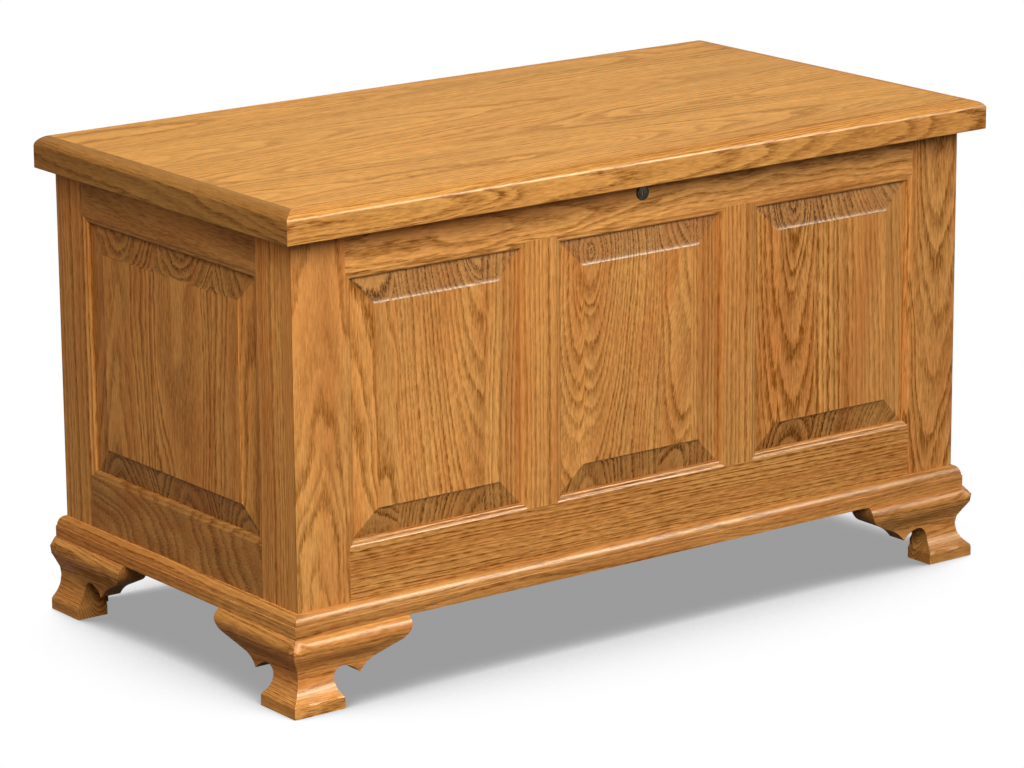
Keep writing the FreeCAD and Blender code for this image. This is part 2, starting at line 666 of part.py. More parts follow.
def stay():
    """An arm as long as the way from the hinge axis to its pivot, so that its pin stays on a
    straight track that points at the hinge axis, and it turns in the lid twice as fast."""
    slope = math.radians(STAY_SLOPE)
    dip = math.asin(STAY_DROP / STAY_ARM)
    hinge = V(0, HINGE_Y, CASE_TOP)
    along = V(0, -math.cos(slope), -math.sin(slope))
    pin_shut = 2 * STAY_ARM * math.cos(slope - dip)
    pin_open = 2 * STAY_ARM * math.cos(slope - dip + math.radians(LID_OPEN))
    half = STAY_BAR / 2
    wall = LEFT + STOCK
    plate_x = wall + TRACK_STAND_OFF
    arm_x = plate_x + STAY_PLATE + STAY_GAP
    ear_x = arm_x + STAY_PLATE + PLATE_GAP

    def on_track(flat, thickness, x):
        return prism(flat, thickness, hinge + V(x, 0, 0), along, U.cross(along))

    slot_radius = STAY_PIN + SLOT_PLAY
    slot_start, slot_end = pin_open - OVERTRAVEL, pin_shut + OVERTRAVEL
    fixings = (slot_start - slot_radius - half, slot_end + slot_radius + half)
    plate = on_track(round_bar(*fixings, half), STAY_PLATE, plate_x)
    through = 3 * STAY_PLATE
    slot = on_track(round_bar(slot_start, slot_end, slot_radius), through, plate_x - STAY_PLATE)
    notch = prism(round_bar(0, NOTCH, slot_radius), through,
                  hinge + along * slot_start + V(plate_x - STAY_PLATE, 0, 0),
                  U.cross(along), -along)
    pads = []
    for at in fixings:
        foot = hinge + along * at
        pads.append(rod(half - 2, (wall, foot.y, foot.z), (plate_x, foot.y, foot.z)))
    parts["stay_track"] = fuse(plate.cut([slot, notch]), *pads)

    pivot = hinge + V(0, -STAY_ARM * math.cos(dip), -STAY_DROP)
    pin = hinge + along * pin_shut
    run = (pin - pivot).normalize()
    arm = prism(round_bar(0, STAY_ARM, half), STAY_PLATE, pivot + V(arm_x, 0, 0),
                run, U.cross(run))
    button_x = plate_x - PLATE_GAP
    button_end = button_x - STAY_BUTTON_HEIGHT
    stud = rod(STAY_PIN, (button_end, pin.y, pin.z), (arm_x, pin.y, pin.z))
    button = rod(STAY_PIN + STAY_BUTTON, (button_end, pin.y, pin.z), (button_x, pin.y, pin.z))
    eye = rod(STAY_RIVET + RUNNING, (arm_x - 1, pivot.y, pivot.z), (ear_x, pivot.y, pivot.z))
    parts["stay_arm"] = cut(arm.fuse([stud, button]), eye)

    reach = half + STAY_FLANGE
    lobe = rod(half, (ear_x, pivot.y, pivot.z), (ear_x + STAY_PLATE, pivot.y, pivot.z))
    ear = block((ear_x, pivot.y - half, pivot.z), (ear_x + STAY_PLATE, pivot.y + half, CASE_TOP))
    flange = block((ear_x, pivot.y - reach, CASE_TOP - STAY_PLATE),
                   (ear_x + STAY_BAR, pivot.y + reach, CASE_TOP))
    cap_x = arm_x - PLATE_GAP
    cap_end = cap_x - STAY_BUTTON_HEIGHT
    rivet = rod(STAY_RIVET, (cap_end, pivot.y, pivot.z), (ear_x, pivot.y, pivot.z))
    cap = rod(STAY_RIVET + STAY_BUTTON, (cap_end, pivot.y, pivot.z), (cap_x, pivot.y, pivot.z))
    parts["stay_bracket"] = fuse(lobe, ear, flange, rivet, cap)


# ---- lock ----
def ring_sector(inner, outer, start, end):
    """Sector of a ring between two angles in degrees, in the plane seen from the front."""
    def at(radius, degrees):
        return (radius * math.cos(math.radians(degrees)), radius * math.sin(math.radians(degrees)))
    middle = (start + end) / 2
    return face(line(at(inner, start), at(outer, start)),
                arc(at(outer, start), at(outer, middle), at(outer, end)),
                line(at(outer, end), at(inner, end)),
                arc(at(inner, end), at(inner, middle), at(inner, start)))


def lock():
    """Keyed barrel in the top rail; its hooked cam catches a stud on the lid's keeper."""
    z = CASE_TOP - LOCK_DROP
    front, inside = FRONT, FRONT + STOCK
    tail = inside + LOCK_TAIL
    cam_front = tail + 2 * PLUG_PLAY
    cam_back = cam_front + CAM_THICKNESS
    bezel_front = front - BEZEL_HEIGHT
    past = 1.0

    def turned(radius, start, end):
        return rod(radius, (0, start, z), (0, end, z))

    def slab(width, height, start, end):
        return block((-width / 2, start, z - height / 2), (width / 2, end, z + height / 2))

    flange_front = bezel_front + PLUG_SINK
    flange_back = flange_front + PLUG_FLANGE_HEIGHT
    seat = flange_back + PLUG_PLAY
    parts["lock_cylinder"] = cut(
        turned(BEZEL_RADIUS, bezel_front, front).fuse(turned(LOCK_BARREL, front, tail)),
        turned(PLUG_RADIUS + RUNNING, bezel_front - past, tail + past),
        turned(PLUG_FLANGE + RUNNING, bezel_front - past, seat))
    parts["front_top_rail"] = cut(parts["front_top_rail"],
                                  turned(LOCK_BARREL, front - past, inside + past))

    point = NUT_ACROSS / math.sqrt(3)
    corners = [(point * math.cos(math.radians(turn)), point * math.sin(math.radians(turn)))
               for turn in range(30, 390, 60)]
    nut = prism(polygon(*corners), NUT_THICKNESS, V(0, inside + NUT_THICKNESS, z), U, Z)
    parts["lock_nut"] = cut(nut, turned(LOCK_BARREL, inside - past, inside + NUT_THICKNESS + past))

    key_width, key_height, key_depth = KEY_SLOT
    plug = turned(PLUG_RADIUS, flange_back, cam_front - PLUG_PLAY)
    flange = turned(PLUG_FLANGE, flange_front, flange_back)
    tang = slab(PLUG_TANG, PLUG_TANG, flange_back, cam_back)
    keyway = slab(key_width, key_height, bezel_front, front + key_depth)
    parts["lock_plug"] = cut(plug.fuse([flange, tang]), keyway)

    def flat_cam(shape):
        return prism(shape, CAM_THICKNESS, V(0, cam_back, z), U, Z)

    edge = CAM_ARM / 2
    tip = math.sqrt(CAM_OUTER ** 2 - edge ** 2)
    arm = flat_cam(polygon((0, -edge), (tip, -edge), (tip, edge), (0, edge)))
    hook = flat_cam(ring_sector(CAM_INNER, CAM_OUTER, -math.degrees(math.atan2(edge, tip)), CAM_HOOK))
    parts["lock_cam"] = cut(turned(CAM_HUB, cam_front, cam_back).fuse([arm, hook]),
                            slab(PLUG_TANG, PLUG_TANG, cam_front - past, cam_back + past))

    angle = math.radians(STUD_ANGLE)
    x, stud_z = STUD_DISTANCE * math.cos(angle), z + STUD_DISTANCE * math.sin(angle)
    plate = cam_back + CAM_GAP
    foot_width, foot_depth = KEEPER_FOOT
    stud = rod(KEEPER_STUD, (x, cam_front, stud_z), (x, plate, stud_z))
    hanger = block((x - KEEPER_WIDTH / 2, plate, stud_z - KEEPER_EDGE),
                   (x + KEEPER_WIDTH / 2, plate + KEEPER_PLATE, CASE_TOP))
    foot = block((x - foot_width / 2, plate, CASE_TOP - KEEPER_PLATE),
                 (x + foot_width / 2, plate + foot_depth, CASE_TOP))
    parts["lock_keeper"] = fuse(hanger, foot, stud)


def build():
    front_wall()
    end_walls()
    back_wall()
    bottom()
    base_moulding()
    feet()
    lid()
    hinges()
    stay()
    lock()


build()
os.makedirs("parts", exist_ok=True)
for name, shape in parts.items():
    shape.exportStep("parts/%s.step" % name)
print(len(parts), "nodes")
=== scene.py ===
# %% [markdown]
# # A raised-panel oak blanket chest
# The chest is solid wood, so nearly all of its look is the figure of the oak. The construction
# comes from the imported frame. This script dresses it: first the light, then one recipe for oak
# that is cut through in three dimensions as a real board is, then each family of boards, and
# last the small metal parts: lock, hinges and lid stay.

# %% Load the frame
import json
import math
from functools import partial

import bmesh
import bpy
import numpy as np
from mathutils import Euler, Matrix, Vector

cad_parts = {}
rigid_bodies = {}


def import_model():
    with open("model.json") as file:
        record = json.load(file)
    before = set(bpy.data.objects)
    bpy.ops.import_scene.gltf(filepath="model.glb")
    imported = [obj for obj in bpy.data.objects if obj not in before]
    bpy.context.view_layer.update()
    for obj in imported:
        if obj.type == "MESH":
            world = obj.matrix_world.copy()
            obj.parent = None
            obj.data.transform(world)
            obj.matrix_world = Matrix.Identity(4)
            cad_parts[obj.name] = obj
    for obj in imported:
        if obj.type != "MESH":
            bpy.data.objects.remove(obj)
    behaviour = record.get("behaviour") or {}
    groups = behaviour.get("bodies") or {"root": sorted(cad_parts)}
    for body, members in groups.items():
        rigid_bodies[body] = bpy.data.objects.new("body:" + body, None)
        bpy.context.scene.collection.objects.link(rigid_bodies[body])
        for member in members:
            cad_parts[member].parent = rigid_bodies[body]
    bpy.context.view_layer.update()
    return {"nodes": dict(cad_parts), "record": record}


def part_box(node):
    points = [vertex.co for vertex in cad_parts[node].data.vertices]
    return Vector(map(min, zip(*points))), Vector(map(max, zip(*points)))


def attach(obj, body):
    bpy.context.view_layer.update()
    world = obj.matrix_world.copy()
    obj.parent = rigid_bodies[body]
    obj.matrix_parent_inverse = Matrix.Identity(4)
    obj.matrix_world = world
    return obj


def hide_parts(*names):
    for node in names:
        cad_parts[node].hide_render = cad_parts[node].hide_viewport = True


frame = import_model()
MM = 0.001

# %% [markdown]
# ## Camera
# A long lens from the left front corner, a little above the lid. The angles and the place are
# written as a photographer would note them: heading, tilt, roll and the tripod's position.

# %% Camera
LENS = 153.35                      # mm on a 36 mm sensor
HEADING = math.radians(36.76)      # clockwise from +Y
TILT = math.radians(14.81)         # downwards
ROLL = math.radians(-0.433)
TRIPOD = Vector((-3230.4, -4307.5, 1688.2)) * MM

scene = bpy.context.scene
camera = bpy.data.objects.new("camera", bpy.data.cameras.new("camera"))
camera.data.lens = LENS
camera.data.sensor_width = 36
camera.data.clip_end = 50
turn = Euler((math.pi / 2 - TILT, 0, -HEADING)).to_matrix() @ Matrix.Rotation(ROLL, 3, "Z")
camera.matrix_world = Matrix.Translation(TRIPOD) @ turn.to_4x4()
scene.collection.objects.link(camera)
scene.camera = camera
scene.view_settings.view_transform = "Standard"
print("camera", tuple(camera.location))

# %% [markdown]
# ## Small helpers
# Colours are written as sRGB hex, which is how they are picked, and turned to the linear values
# that a shader wants. Every node of every material goes in through one function.

# %% Helpers
def linear(code):
    """sRGB hex to linear RGBA: each channel through the sRGB curve."""
    channels = np.array([int(code[n:n + 2], 16) for n in (1, 3, 5)]) / 255
    low, high = channels / 12.92, ((channels + 0.055) / 1.055) ** 2.4
    return (*np.where(channels <= 0.04045, low, high), 1.0)


def fill(tree, node, sockets):
    """Fills sockets by name or number. What is given as an output, or as a node, is linked.

    A node stands for the first output that its settings leave in use.
    """
    for socket, value in sockets.items():
        if isinstance(value, bpy.types.Node):
            value = next(output for output in value.outputs if output.enabled)
        if isinstance(value, bpy.types.NodeSocket):
            tree.links.new(value, node.inputs[socket])
        else:
            node.inputs[socket].default_value = value
    return node


def add(tree, kind, *inputs, **settings):
    """Adds a node such as "Math ADD" or "Mix RGBA", its kind and what it works as or on.

    The inputs are in the order of the sockets, or they are one dict.
    """
    kind, *mode = kind.split()
    node = tree.nodes.new(kind if kind.startswith("NodeGroup") else "ShaderNode" + kind)
    if mode:
        setattr(node, "data_type" if kind == "Mix" else "operation", mode[0])
    for name, value in settings.items():
        setattr(node, name, value)
    named = inputs[0] if inputs and isinstance(inputs[0], dict) else dict(enumerate(inputs))
    return fill(tree, node, named)


# %% [markdown]
# ## Studio
# A white surround and lamps as for furniture: a wide soft key, high in front on the left, and
# weaker ones above for the lid and beside the left end. Mouldings need one thing more. Lacquer
# shows a lamp only where the surface is tipped just so, and a tall strip on the other side
# is caught by every rounded edge as a thin line. The strip gives gloss alone, so it doesn't
# flatten the shading. A soft lamp behind keeps the back and the right end from going black.

# %% World and lamps
world = bpy.data.worlds.new("studio")
scene.world = world
world.use_nodes = True
world.node_tree.nodes.clear()


def seen_directly(node):
    """1 for rays that show the background itself: from the camera, off gloss or through glass."""
    path = node("LightPath").outputs
    seen = node("Math MAXIMUM", path["Is Camera Ray"], path["Is Glossy Ray"])
    return node("Math MAXIMUM", seen, path["Is Transmission Ray"])


node = partial(add, world.node_tree)
soft = node("Background", linear("#FFEBD2"), 0.10)
white = node("Background", linear("#FFFFFF"), 1.0)
node("OutputWorld", node("MixShader", seen_directly(node), soft, white))


def lamp(name, place, aim, wide, tall, watts, colour=(1, 1, 1)):
    """A soft lamp at place, wide by tall metres, turned to the chest's middle at the height aim."""
    data = bpy.data.lights.new(name, "AREA")
    data.shape = "RECTANGLE"
    data.size, data.size_y = wide, tall
    data.energy, data.color = watts, colour
    light = bpy.data.objects.new(name, data)
    light.location = place
    towards = Vector((0, 0, aim)) - Vector(place)
    light.rotation_euler = towards.to_track_quat("-Z", "Y").to_euler()
    scene.collection.objects.link(light)
    return light


lamp("key", (-1.4, -2.8, 2.75), 0.3, 2.6, 2.6, 190)
lamp("top", (0.2, 0.5, 3.2), 0.6, 1.3, 1.3, 18)
lamp("end", (-3.0, -0.6, 1.6), 0.3, 1.0, 1.0, 10, (1.0, 0.70, 0.40))
strip = lamp("strip", (2.36, -3.13, 2.3), 0.35, 0.9, 1.6, 1350, (1.0, 0.90, 0.74))
strip.visible_diffuse = False
lamp("back", (2.2, 2.8, 1.5), 0.3, 1.6, 1.2, 70).visible_glossy = False

# %% [markdown]
# ## Floor
# The floor has two faces. To the light it is dull grey paper, so it bounces little back. Seen
# directly it is white and keeps only the chest's soft contact shadow, which is worked out from
# how much of the sky the chest hides from each spot.

# %% Floor
REACH = 6.0                        # metres from the middle to each edge
HIDDEN, OPEN = 0.35, 0.68          # shares of open sky where the shadow is full, and where it ends
DEEPEST = 0.33                     # what is left of white in the full shadow

floor_mesh = bpy.data.meshes.new("floor")
corners = [(-REACH, -REACH, 0), (REACH, -REACH, 0), (REACH, REACH, 0), (-REACH, REACH, 0)]
floor_mesh.from_pydata(corners, [], [(0, 1, 2, 3)])
floor = bpy.data.objects.new("floor", floor_mesh)
scene.collection.objects.link(floor)


def fresh(name):
    """A new material, and the function that adds nodes to it."""
    material = bpy.data.materials.new(name)
    material.use_nodes = True
    return material, partial(add, material.node_tree)


paper, node = fresh("studio_paper")
paper.node_tree.nodes.clear()
dull = node("BsdfDiffuse", linear("#606060"))
sky = node("AmbientOcclusion", {"Distance": 0.55}, samples=24).outputs["AO"]
shadow = node("MapRange", sky, HIDDEN, OPEN, DEEPEST, 1.0, interpolation_type="SMOOTHSTEP")
shown = node("Emission", linear("#FFFFFF"), shadow)
node("OutputMaterial", node("MixShader", seen_directly(node), dull, shown))
floor_mesh.materials.append(paper)
print("floor", 2 * REACH, "m wide")

# %% [markdown]
# ## Oak, cut from a log
# Red oak shows its yearly rings: each starts with a band of wide open pores, which takes the
# stain dark, and ends in dense, paler wood. What a board's face shows depends only on how it was
# cut through those rings, arches where the rings lie flat to the face and straight lines where
# they stand upright. A picture on the surface can't turn a corner, so here the rings are worked
# out in space, around the pith of an imaginary log, and every surface simply cuts them.
#
# First the place in the log: how far a point is from the pith, on a trunk that is never straight.

# %% Place in the log
# rings are drawn wider than real ones so that they show, which would leave a shallow bevel with
# hardly a ring to cut through; counting its depth for more gives the bevel its arches back
DEPTH_SCALE = 2.5
BENDS = (((2.4, 8.0, 8.0), 2.0), ((10.0, 32.0, 32.0), 0.45))     # bends per metre; how strong


def in_the_log(node, given):
    """Board place less the pith's line, which leans; then the same, bent by two sizes of noise."""
    deeper = node("VectorMath MULTIPLY", given["Board"], (1.0, 1.0, DEPTH_SCALE))
    along = node("SeparateXYZ", deeper).outputs["X"]
    pith_y = node("Math MULTIPLY_ADD", along, given["Drift"], given["Across"])
    pith_z = node("Math MULTIPLY_ADD", along, given["Lean"], given["Depth"])
    pith = node("CombineXYZ", given["Seed"], pith_y, pith_z)
    straight = bent = node("VectorMath SUBTRACT", deeper, pith)
    for stretch, size in BENDS:
        spread = node("VectorMath MULTIPLY", bent, stretch)
        wave = node("TexNoise", {"Vector": spread, "Scale": 1.0, "Detail": 1.0}).outputs["Color"]
        wave = node("VectorMath SUBTRACT", wave, (0.5, 0.5, 0.5))
        wave = node("VectorMath MULTIPLY", wave, (0.0, size, size))
        wave = node("VectorMath SCALE", {0: wave, "Scale": given["Wobble"]})
        bent = node("VectorMath ADD", bent, wave)
    return straight, bent


# %% [markdown]
# A year's ring is dark at its start and fades. No two years are alike, so both the width and the
# strength of a ring vary, and streaks along the grain feather its edge.

# %% Rings
UNEVEN, FEATHER = 3.0, 0.55        # rings by which the years drift, and streaks shift an edge
# share of the year that has passed, and how dark the wood is then
YEAR = ((0.0, 0.30), (1.0, 0.12), (0.10, 0.85), (0.26, 0.80), (0.45, 0.42), (0.66, 0.15), (0.90, 0.05))


def ring_band(node, straight, bent, ring):
    """Darkness of the early wood, 0 to 1, from the ring number: distance / ring width."""
    around = node("VectorMath MULTIPLY", bent, (0.0, 1.0, 1.0))
    years = node("Math DIVIDE", node("VectorMath LENGTH", around), ring)
    drift = node("TexNoise", {"W": years, "Scale": 0.3, "Detail": 1.0}, noise_dimensions="1D")
    years = node("Math MULTIPLY_ADD", drift, UNEVEN, years)
    spread = node("VectorMath MULTIPLY", straight, (45.0, 480.0, 480.0))
    streaks = node("TexNoise", {"Vector": spread, "Scale": 1.0, "Detail": 2.0, "Roughness": 0.6})
    years = node("Math MULTIPLY_ADD", streaks, FEATHER, years)
    strength = node("TexWhiteNoise", {"W": node("Math FLOOR", years)}, noise_dimensions="1D")
    fade = node("ValToRGB", node("Math FRACT", years))
    stops = fade.color_ramp.elements
    for number, (position, level) in enumerate(YEAR):
        stop = stops[number] if number < 2 else stops.new(position)
        stop.color = (level, level, level, 1)
    return node("Math MULTIPLY", fade, node("MapRange", strength, 0.0, 1.0, 0.5, 1.0))


# %% [markdown]
# Pores are dark dashes along the grain, dense in the early band, with finer ones everywhere else.
# Real ones are 0.3 mm wide, under a third of what shows at this distance, so they are drawn about
# 1 mm wide. The stain lies in soft clouds, a little redder here and there.

# %% Pores and stain
PALE, REDDISH, GOLDEN, STAIN = (linear(code) for code in ("#DE9F57", "#D28A48", "#DFA552", "#7E4607"))
# pores, fibres and clouds: how many per metre along and across the grain, and how ragged they are
MARKS = ((60.0, 620.0, 620.0), 0.65), ((50.0, 420.0, 420.0), 0.65), ((2.5, 25.0, 25.0), 0.5)
EARLY, PORE, FIBRE = 0.40, 0.55, 0.36      # how dark the early wood, its pores and the fibres are


def stained(node, straight, band, contrast, tone_and_painted_light, golden):
    """Colour = pale oak mixed to dark by the band, its pores and fibres, then made lighter or darker by
    tone_and_painted_light.

    Golden, 0 to 1, takes the redness out of the pale wood.
    """
    marks = []
    for stretch, ragged in MARKS:
        spread = node("VectorMath MULTIPLY", straight, stretch)
        marks.append(node("TexNoise", {"Vector": spread, "Scale": 1.0, "Detail": 2.0, "Roughness": ragged}))
    pores = node("MapRange", marks[0], 0.38, 0.60, 0.0, 1.0)
    fibres = node("MapRange", marks[1], 0.36, 0.66, 0.0, 1.0)
    clouds = node("SeparateColor", marks[2].outputs["Color"]).outputs
    dark = node("Math MULTIPLY", node("Math MULTIPLY_ADD", pores, PORE, EARLY), band)
    dark = node("Math MULTIPLY_ADD", fibres, FIBRE, dark)
    dark = node("Math MULTIPLY", dark, contrast, use_clamp=True)
    redder = node("MapRange", clouds["Green"], 0.40, 0.68, 0.0, 1.0)
    wood = node("Mix RGBA", {0: redder, 6: PALE, 7: REDDISH})
    wood = node("Mix RGBA", {0: golden, 6: wood, 7: GOLDEN})
    wood = node("Mix RGBA", {0: dark, 6: wood, 7: STAIN})
    # tone_and_painted_light is a board's own tone, and on some boards also painted light and shade
    light = node("Math ADD", node("MapRange", clouds["Red"], 0.3, 0.7, 0.90, 1.10), tone_and_painted_light)
    relief = node("Math MULTIPLY", pores, band)
    return node("VectorMath SCALE", {0: wood, "Scale": light}), relief


# %% [markdown]
# Together the three steps make one node group. Its sockets say how a board was cut, and each has
# the value of an ordinary board, so that a board only has to name what is special about it.

# %% Figure of oak
# metres, but for the leans (metres per metre) and the plain numbers from Seed on
ORDINARY = dict(Depth=0.08, Across=0.0, Lean=0.05, Drift=0.0, Ring=0.0055, Wobble=0.012, Seed=0.0,
                Tone=0.0, Golden=0.0, Contrast=1.0)


def oak_figure():
    """Node group: board coordinates (x along the grain, y across, z inwards) to colour and relief."""
    group = bpy.data.node_groups.new("oak_figure", "ShaderNodeTree")
    socket = group.interface.new_socket
    socket("Board", in_out="INPUT", socket_type="NodeSocketVector")
    for name, value in ORDINARY.items():
        socket(name, in_out="INPUT", socket_type="NodeSocketFloat").default_value = value
    socket("Color", in_out="OUTPUT", socket_type="NodeSocketColor")
    socket("Relief", in_out="OUTPUT", socket_type="NodeSocketFloat")
    node = partial(add, group)
    given = node("NodeGroupInput").outputs
    straight, bent = in_the_log(node, given)
    band = ring_band(node, straight, bent, given["Ring"])
    colour, relief = stained(node, straight, band, given["Contrast"], given["Tone"], given["Golden"])
    node("NodeGroupOutput", {"Color": colour, "Relief": relief})
    return group


figure = oak_figure()
print("oak figure nodes", len(figure.nodes))

# %% [markdown]
# ## Picking the boards
# The front is what everyone looks at, so its boards are picked: straight-grained oak for the
# uprights between the panels, a lively flame along the top rail, fine even lines along the bottom
# one, and panels glued up from two or three boards with their arches showing. A board that isn't
# named here is an ordinary one.

# %% Cuts
def cut(depth=0.08, across=0.0, lean=0.05, **special):
    """Where the pith lies, in metres behind the face and across it, and how it leans inwards."""
    return dict(special, Depth=depth, Across=across, Lean=lean)


lid_board = partial(cut, Golden=0.7, Tone=-0.04, Ring=0.004, Contrast=0.8)
CUTS = {
    "front_left_stile": cut(0.08, -0.012, 0.07, Wobble=0.022, Contrast=0.85),
    "front_right_stile": cut(0.05, 0.012, -0.07, Wobble=0.018, Contrast=1.15),
    # partly the rail's own tone, partly painted light that lifts the shade under the lid's overhang
    "front_top_rail": cut(0.034, 0.004, 0.012, Wobble=0.03, Tone=0.12),
    "front_bottom_rail": cut(0.06, -0.17, 0.0, Drift=0.02, Ring=0.0046, Wobble=0.007, Contrast=1.3,
                             Seed=5.0),
    "front_left_mullion": cut(0.05, 0.14, 0.0, Ring=0.0078, Wobble=0.005),
    "front_right_mullion": cut(0.05, -0.15, 0.0, Ring=0.0072, Wobble=0.005),
    "lid_moulding_front": cut(0.03, Ring=0.0045, Golden=0.4),
    # painted shade: the lid's left edge is darkened as it lies in shade; the right edge is not
    "lid_moulding_left": cut(across=0.03, Contrast=0.9, Tone=-0.40, Golden=0.5),
    # painted shade: the front of the base moulding is darkened; its other sides are not
    "base_moulding_front": cut(0.06, 0.09, 0.01, Tone=-0.1),
    "base_moulding_left": cut(0.06, 0.09, 0.01),
    # painted light: the left end's front stile is lightened where the light falls on the end
    "left_front_stile": cut(0.06, 0.16, 0.0, Ring=0.007, Wobble=0.01, Tone=0.12),
    "left_rear_stile": cut(0.05, 0.15, 0.0, Ring=0.009, Wobble=0.01),
    # painted shade: the left end's top rail is darkened with the shade under the lid
    "left_top_rail": cut(0.09, 0.01, 0.03, Ring=0.009, Tone=-0.15),
    # painted shade: the left end's bottom rail is darkened towards the floor
    "left_bottom_rail": cut(0.10, -0.035, -0.5, Ring=0.012, Wobble=0.02, Contrast=0.9, Tone=-0.27),
    # painted light: the front of the near left foot is lightened; the right foot is not
    "foot_front_left_front": cut(across=0.03, Tone=0.15)}

# the wide panels, each board of which starts at its glue line
GLUED = {
    "front_left_panel": [
        (0.0, cut(0.09, -0.095, 0.05, Ring=0.0065, Wobble=0.02)),
        (-0.058, cut(0.05, 0.068, -0.14, Ring=0.0062, Wobble=0.008)),
        (0.067, cut(0.1, -0.14, -0.04, Ring=0.0075, Wobble=0.008))],
    "front_middle_panel": [
        (0.0, cut(0.035, -0.079, -0.18, Ring=0.005, Wobble=0.009)),
        (0.03, cut(0.08, 0.075, -0.15, Drift=0.22, Ring=0.0075)),
        (0.078, cut(0.06, -0.13, 0.0, Ring=0.007, Wobble=0.006))],
    "front_right_panel": [
        (0.0, cut(0.032, -0.06, -0.11, Ring=0.006, Wobble=0.010, Contrast=1.3)),
        (-0.03, cut(0.06, 0.09, -0.03, Ring=0.0085, Wobble=0.006, Contrast=1.2)),
        (0.036, cut(0.11, 0.14, -0.03, Ring=0.0045, Wobble=0.006, Contrast=0.8))],
    "left_panel": [
        (0.0, cut(0.07, -0.13, 0.06, Ring=0.0075, Wobble=0.022)),
        (-0.04, cut(0.08, 0.02, -0.07, Ring=0.0075, Wobble=0.022)),
        (0.09, cut(0.07, 0.16, 0.05, Ring=0.007, Wobble=0.015))],
    "lid_panel": [
        (0.0, lid_board(0.10, -0.22, 0.02)),
        (-0.14, lid_board(0.09, -0.06, 0.03, Tone=-0.06, Contrast=0.7)),
        (-0.01, lid_board(0.12, 0.08, -0.03)),
        (0.12, lid_board(0.08, 0.2, 0.04))]}


def boards_of(node):
    """The node's boards with their cuts. Every board comes from a log of its own: its seed."""
    own = sorted(frame["nodes"]).index(node)
    boards = GLUED.get(node, [(0.0, CUTS.get(node, {}))])
    return [(start, {"Seed": own + number * 0.3, **how}) for number, (start, how) in enumerate(boards)]


print("picked", len(CUTS), "boards and", len(GLUED), "glued panels")

# %% [markdown]
# ## A board's finish
# Each board gets a material of its own: the same oak, with its own place in its own log. Wide
# panels are glued up from several boards, so a panel's material holds one figure for each and
# switches from one to the next at the glue line.
#
# Where a cut slants across the grain, as on the upper and lower bevels of a panel, the open ends
# of the fibres drink more stain and turn darker. How much shows in the angle between the surface
# and the grain. Over the stain lies a thin satin lacquer, which just lets the pores be felt.

# %% Board finishes
X, Y, Z = np.eye(3)
SLIGHT, STEEP = 0.03, 0.15         # slants at which the open ends start to drink, and drink fully
END_DARK, END_PORE = 0.31, 0.5     # light that they swallow, and what a pore takes on top
PORE_DEPTH = 0.3 * MM
COAT, COAT_BLUR = 0.11, 0.31       # how much of a lacquer's gloss shows, and how satin it is


def axis(text):
    """Direction of an axis such as "z" or "-y"."""
    return {"x": X, "y": Y, "z": Z}[text[-1]] * (-1 if text.startswith("-") else 1)


def face_centre(node, inward):
    """Middle of the node's face that looks outwards: the box's middle, moved against inward."""
    low, high = (np.array(corner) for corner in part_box(node))
    return tuple((low + high) / 2 - axis(inward) * (high - low) / 2)


def shade(material, sockets):
    """Fills the sockets of the material's own shader."""
    fill(material.node_tree, material.node_tree.nodes["Principled BSDF"], sockets)
    return material


def oak(name, grain, inward):
    """Lacquered red oak for the CAD node name. grain and inward are axes such as "z" or "-y".

    The Mapping node undoes the board's turn and place: the grain becomes x, inwards becomes z.
    """
    along, depth = Vector(axis(grain)), Vector(axis(inward))
    turn = Matrix((along, depth.cross(along), depth)).transposed().to_euler()
    material, node = fresh(name)
    place = node("Mapping", node("TexCoord").outputs["Object"], face_centre(name, inward), turn,
                 vector_type="TEXTURE")
    across = node("SeparateXYZ", place).outputs["Y"]
    colour = relief = None
    for start, how in boards_of(name):
        own = node("Group", {"Board": place, **how}, node_tree=figure).outputs
        if colour is None:
            colour, relief = own["Color"], own["Relief"]
            continue
        past = node("Math GREATER_THAN", across, start)
        colour = node("Mix RGBA", {0: past, 6: colour, 7: own["Color"]})
        relief = node("Mix", {0: past, 2: relief, 3: own["Relief"]})
    normal = node("TexCoord").outputs["Normal"]
    slant = node("Math ABSOLUTE", node("VectorMath DOT_PRODUCT", normal, along))
    open_ends = node("MapRange", slant, SLIGHT, STEEP, 0.0, 1.0)
    thirst = node("Math MULTIPLY_ADD", relief, END_PORE, END_DARK)
    drunk = node("Math SUBTRACT", 1.0, node("Math MULTIPLY", open_ends, thirst))
    height = node("Math SUBTRACT", 1.0, relief)
    bump = node("Bump", {"Strength": 0.4, "Distance": PORE_DEPTH, "Height": height})
    return shade(material, {
        "Base Color": node("VectorMath SCALE", {0: colour, "Scale": drunk}),
        "Roughness": node("Math MULTIPLY_ADD", relief, 0.2, 0.30),
        "Normal": bump, "Coat Normal": bump, "Specular IOR Level": 0.0, "Coat Weight": COAT,
        "Coat Roughness": COAT_BLUR})


# %% [markdown]
# ## One way to make every solid
# Boards, coved panels, sawn feet, knuckles and screws are all one idea: a ring of points that is
# carried along and changes as it goes. So one function joins rings into a closed skin, and each
# piece only has to say where its rings are. Working with whole arrays keeps that short and exact.

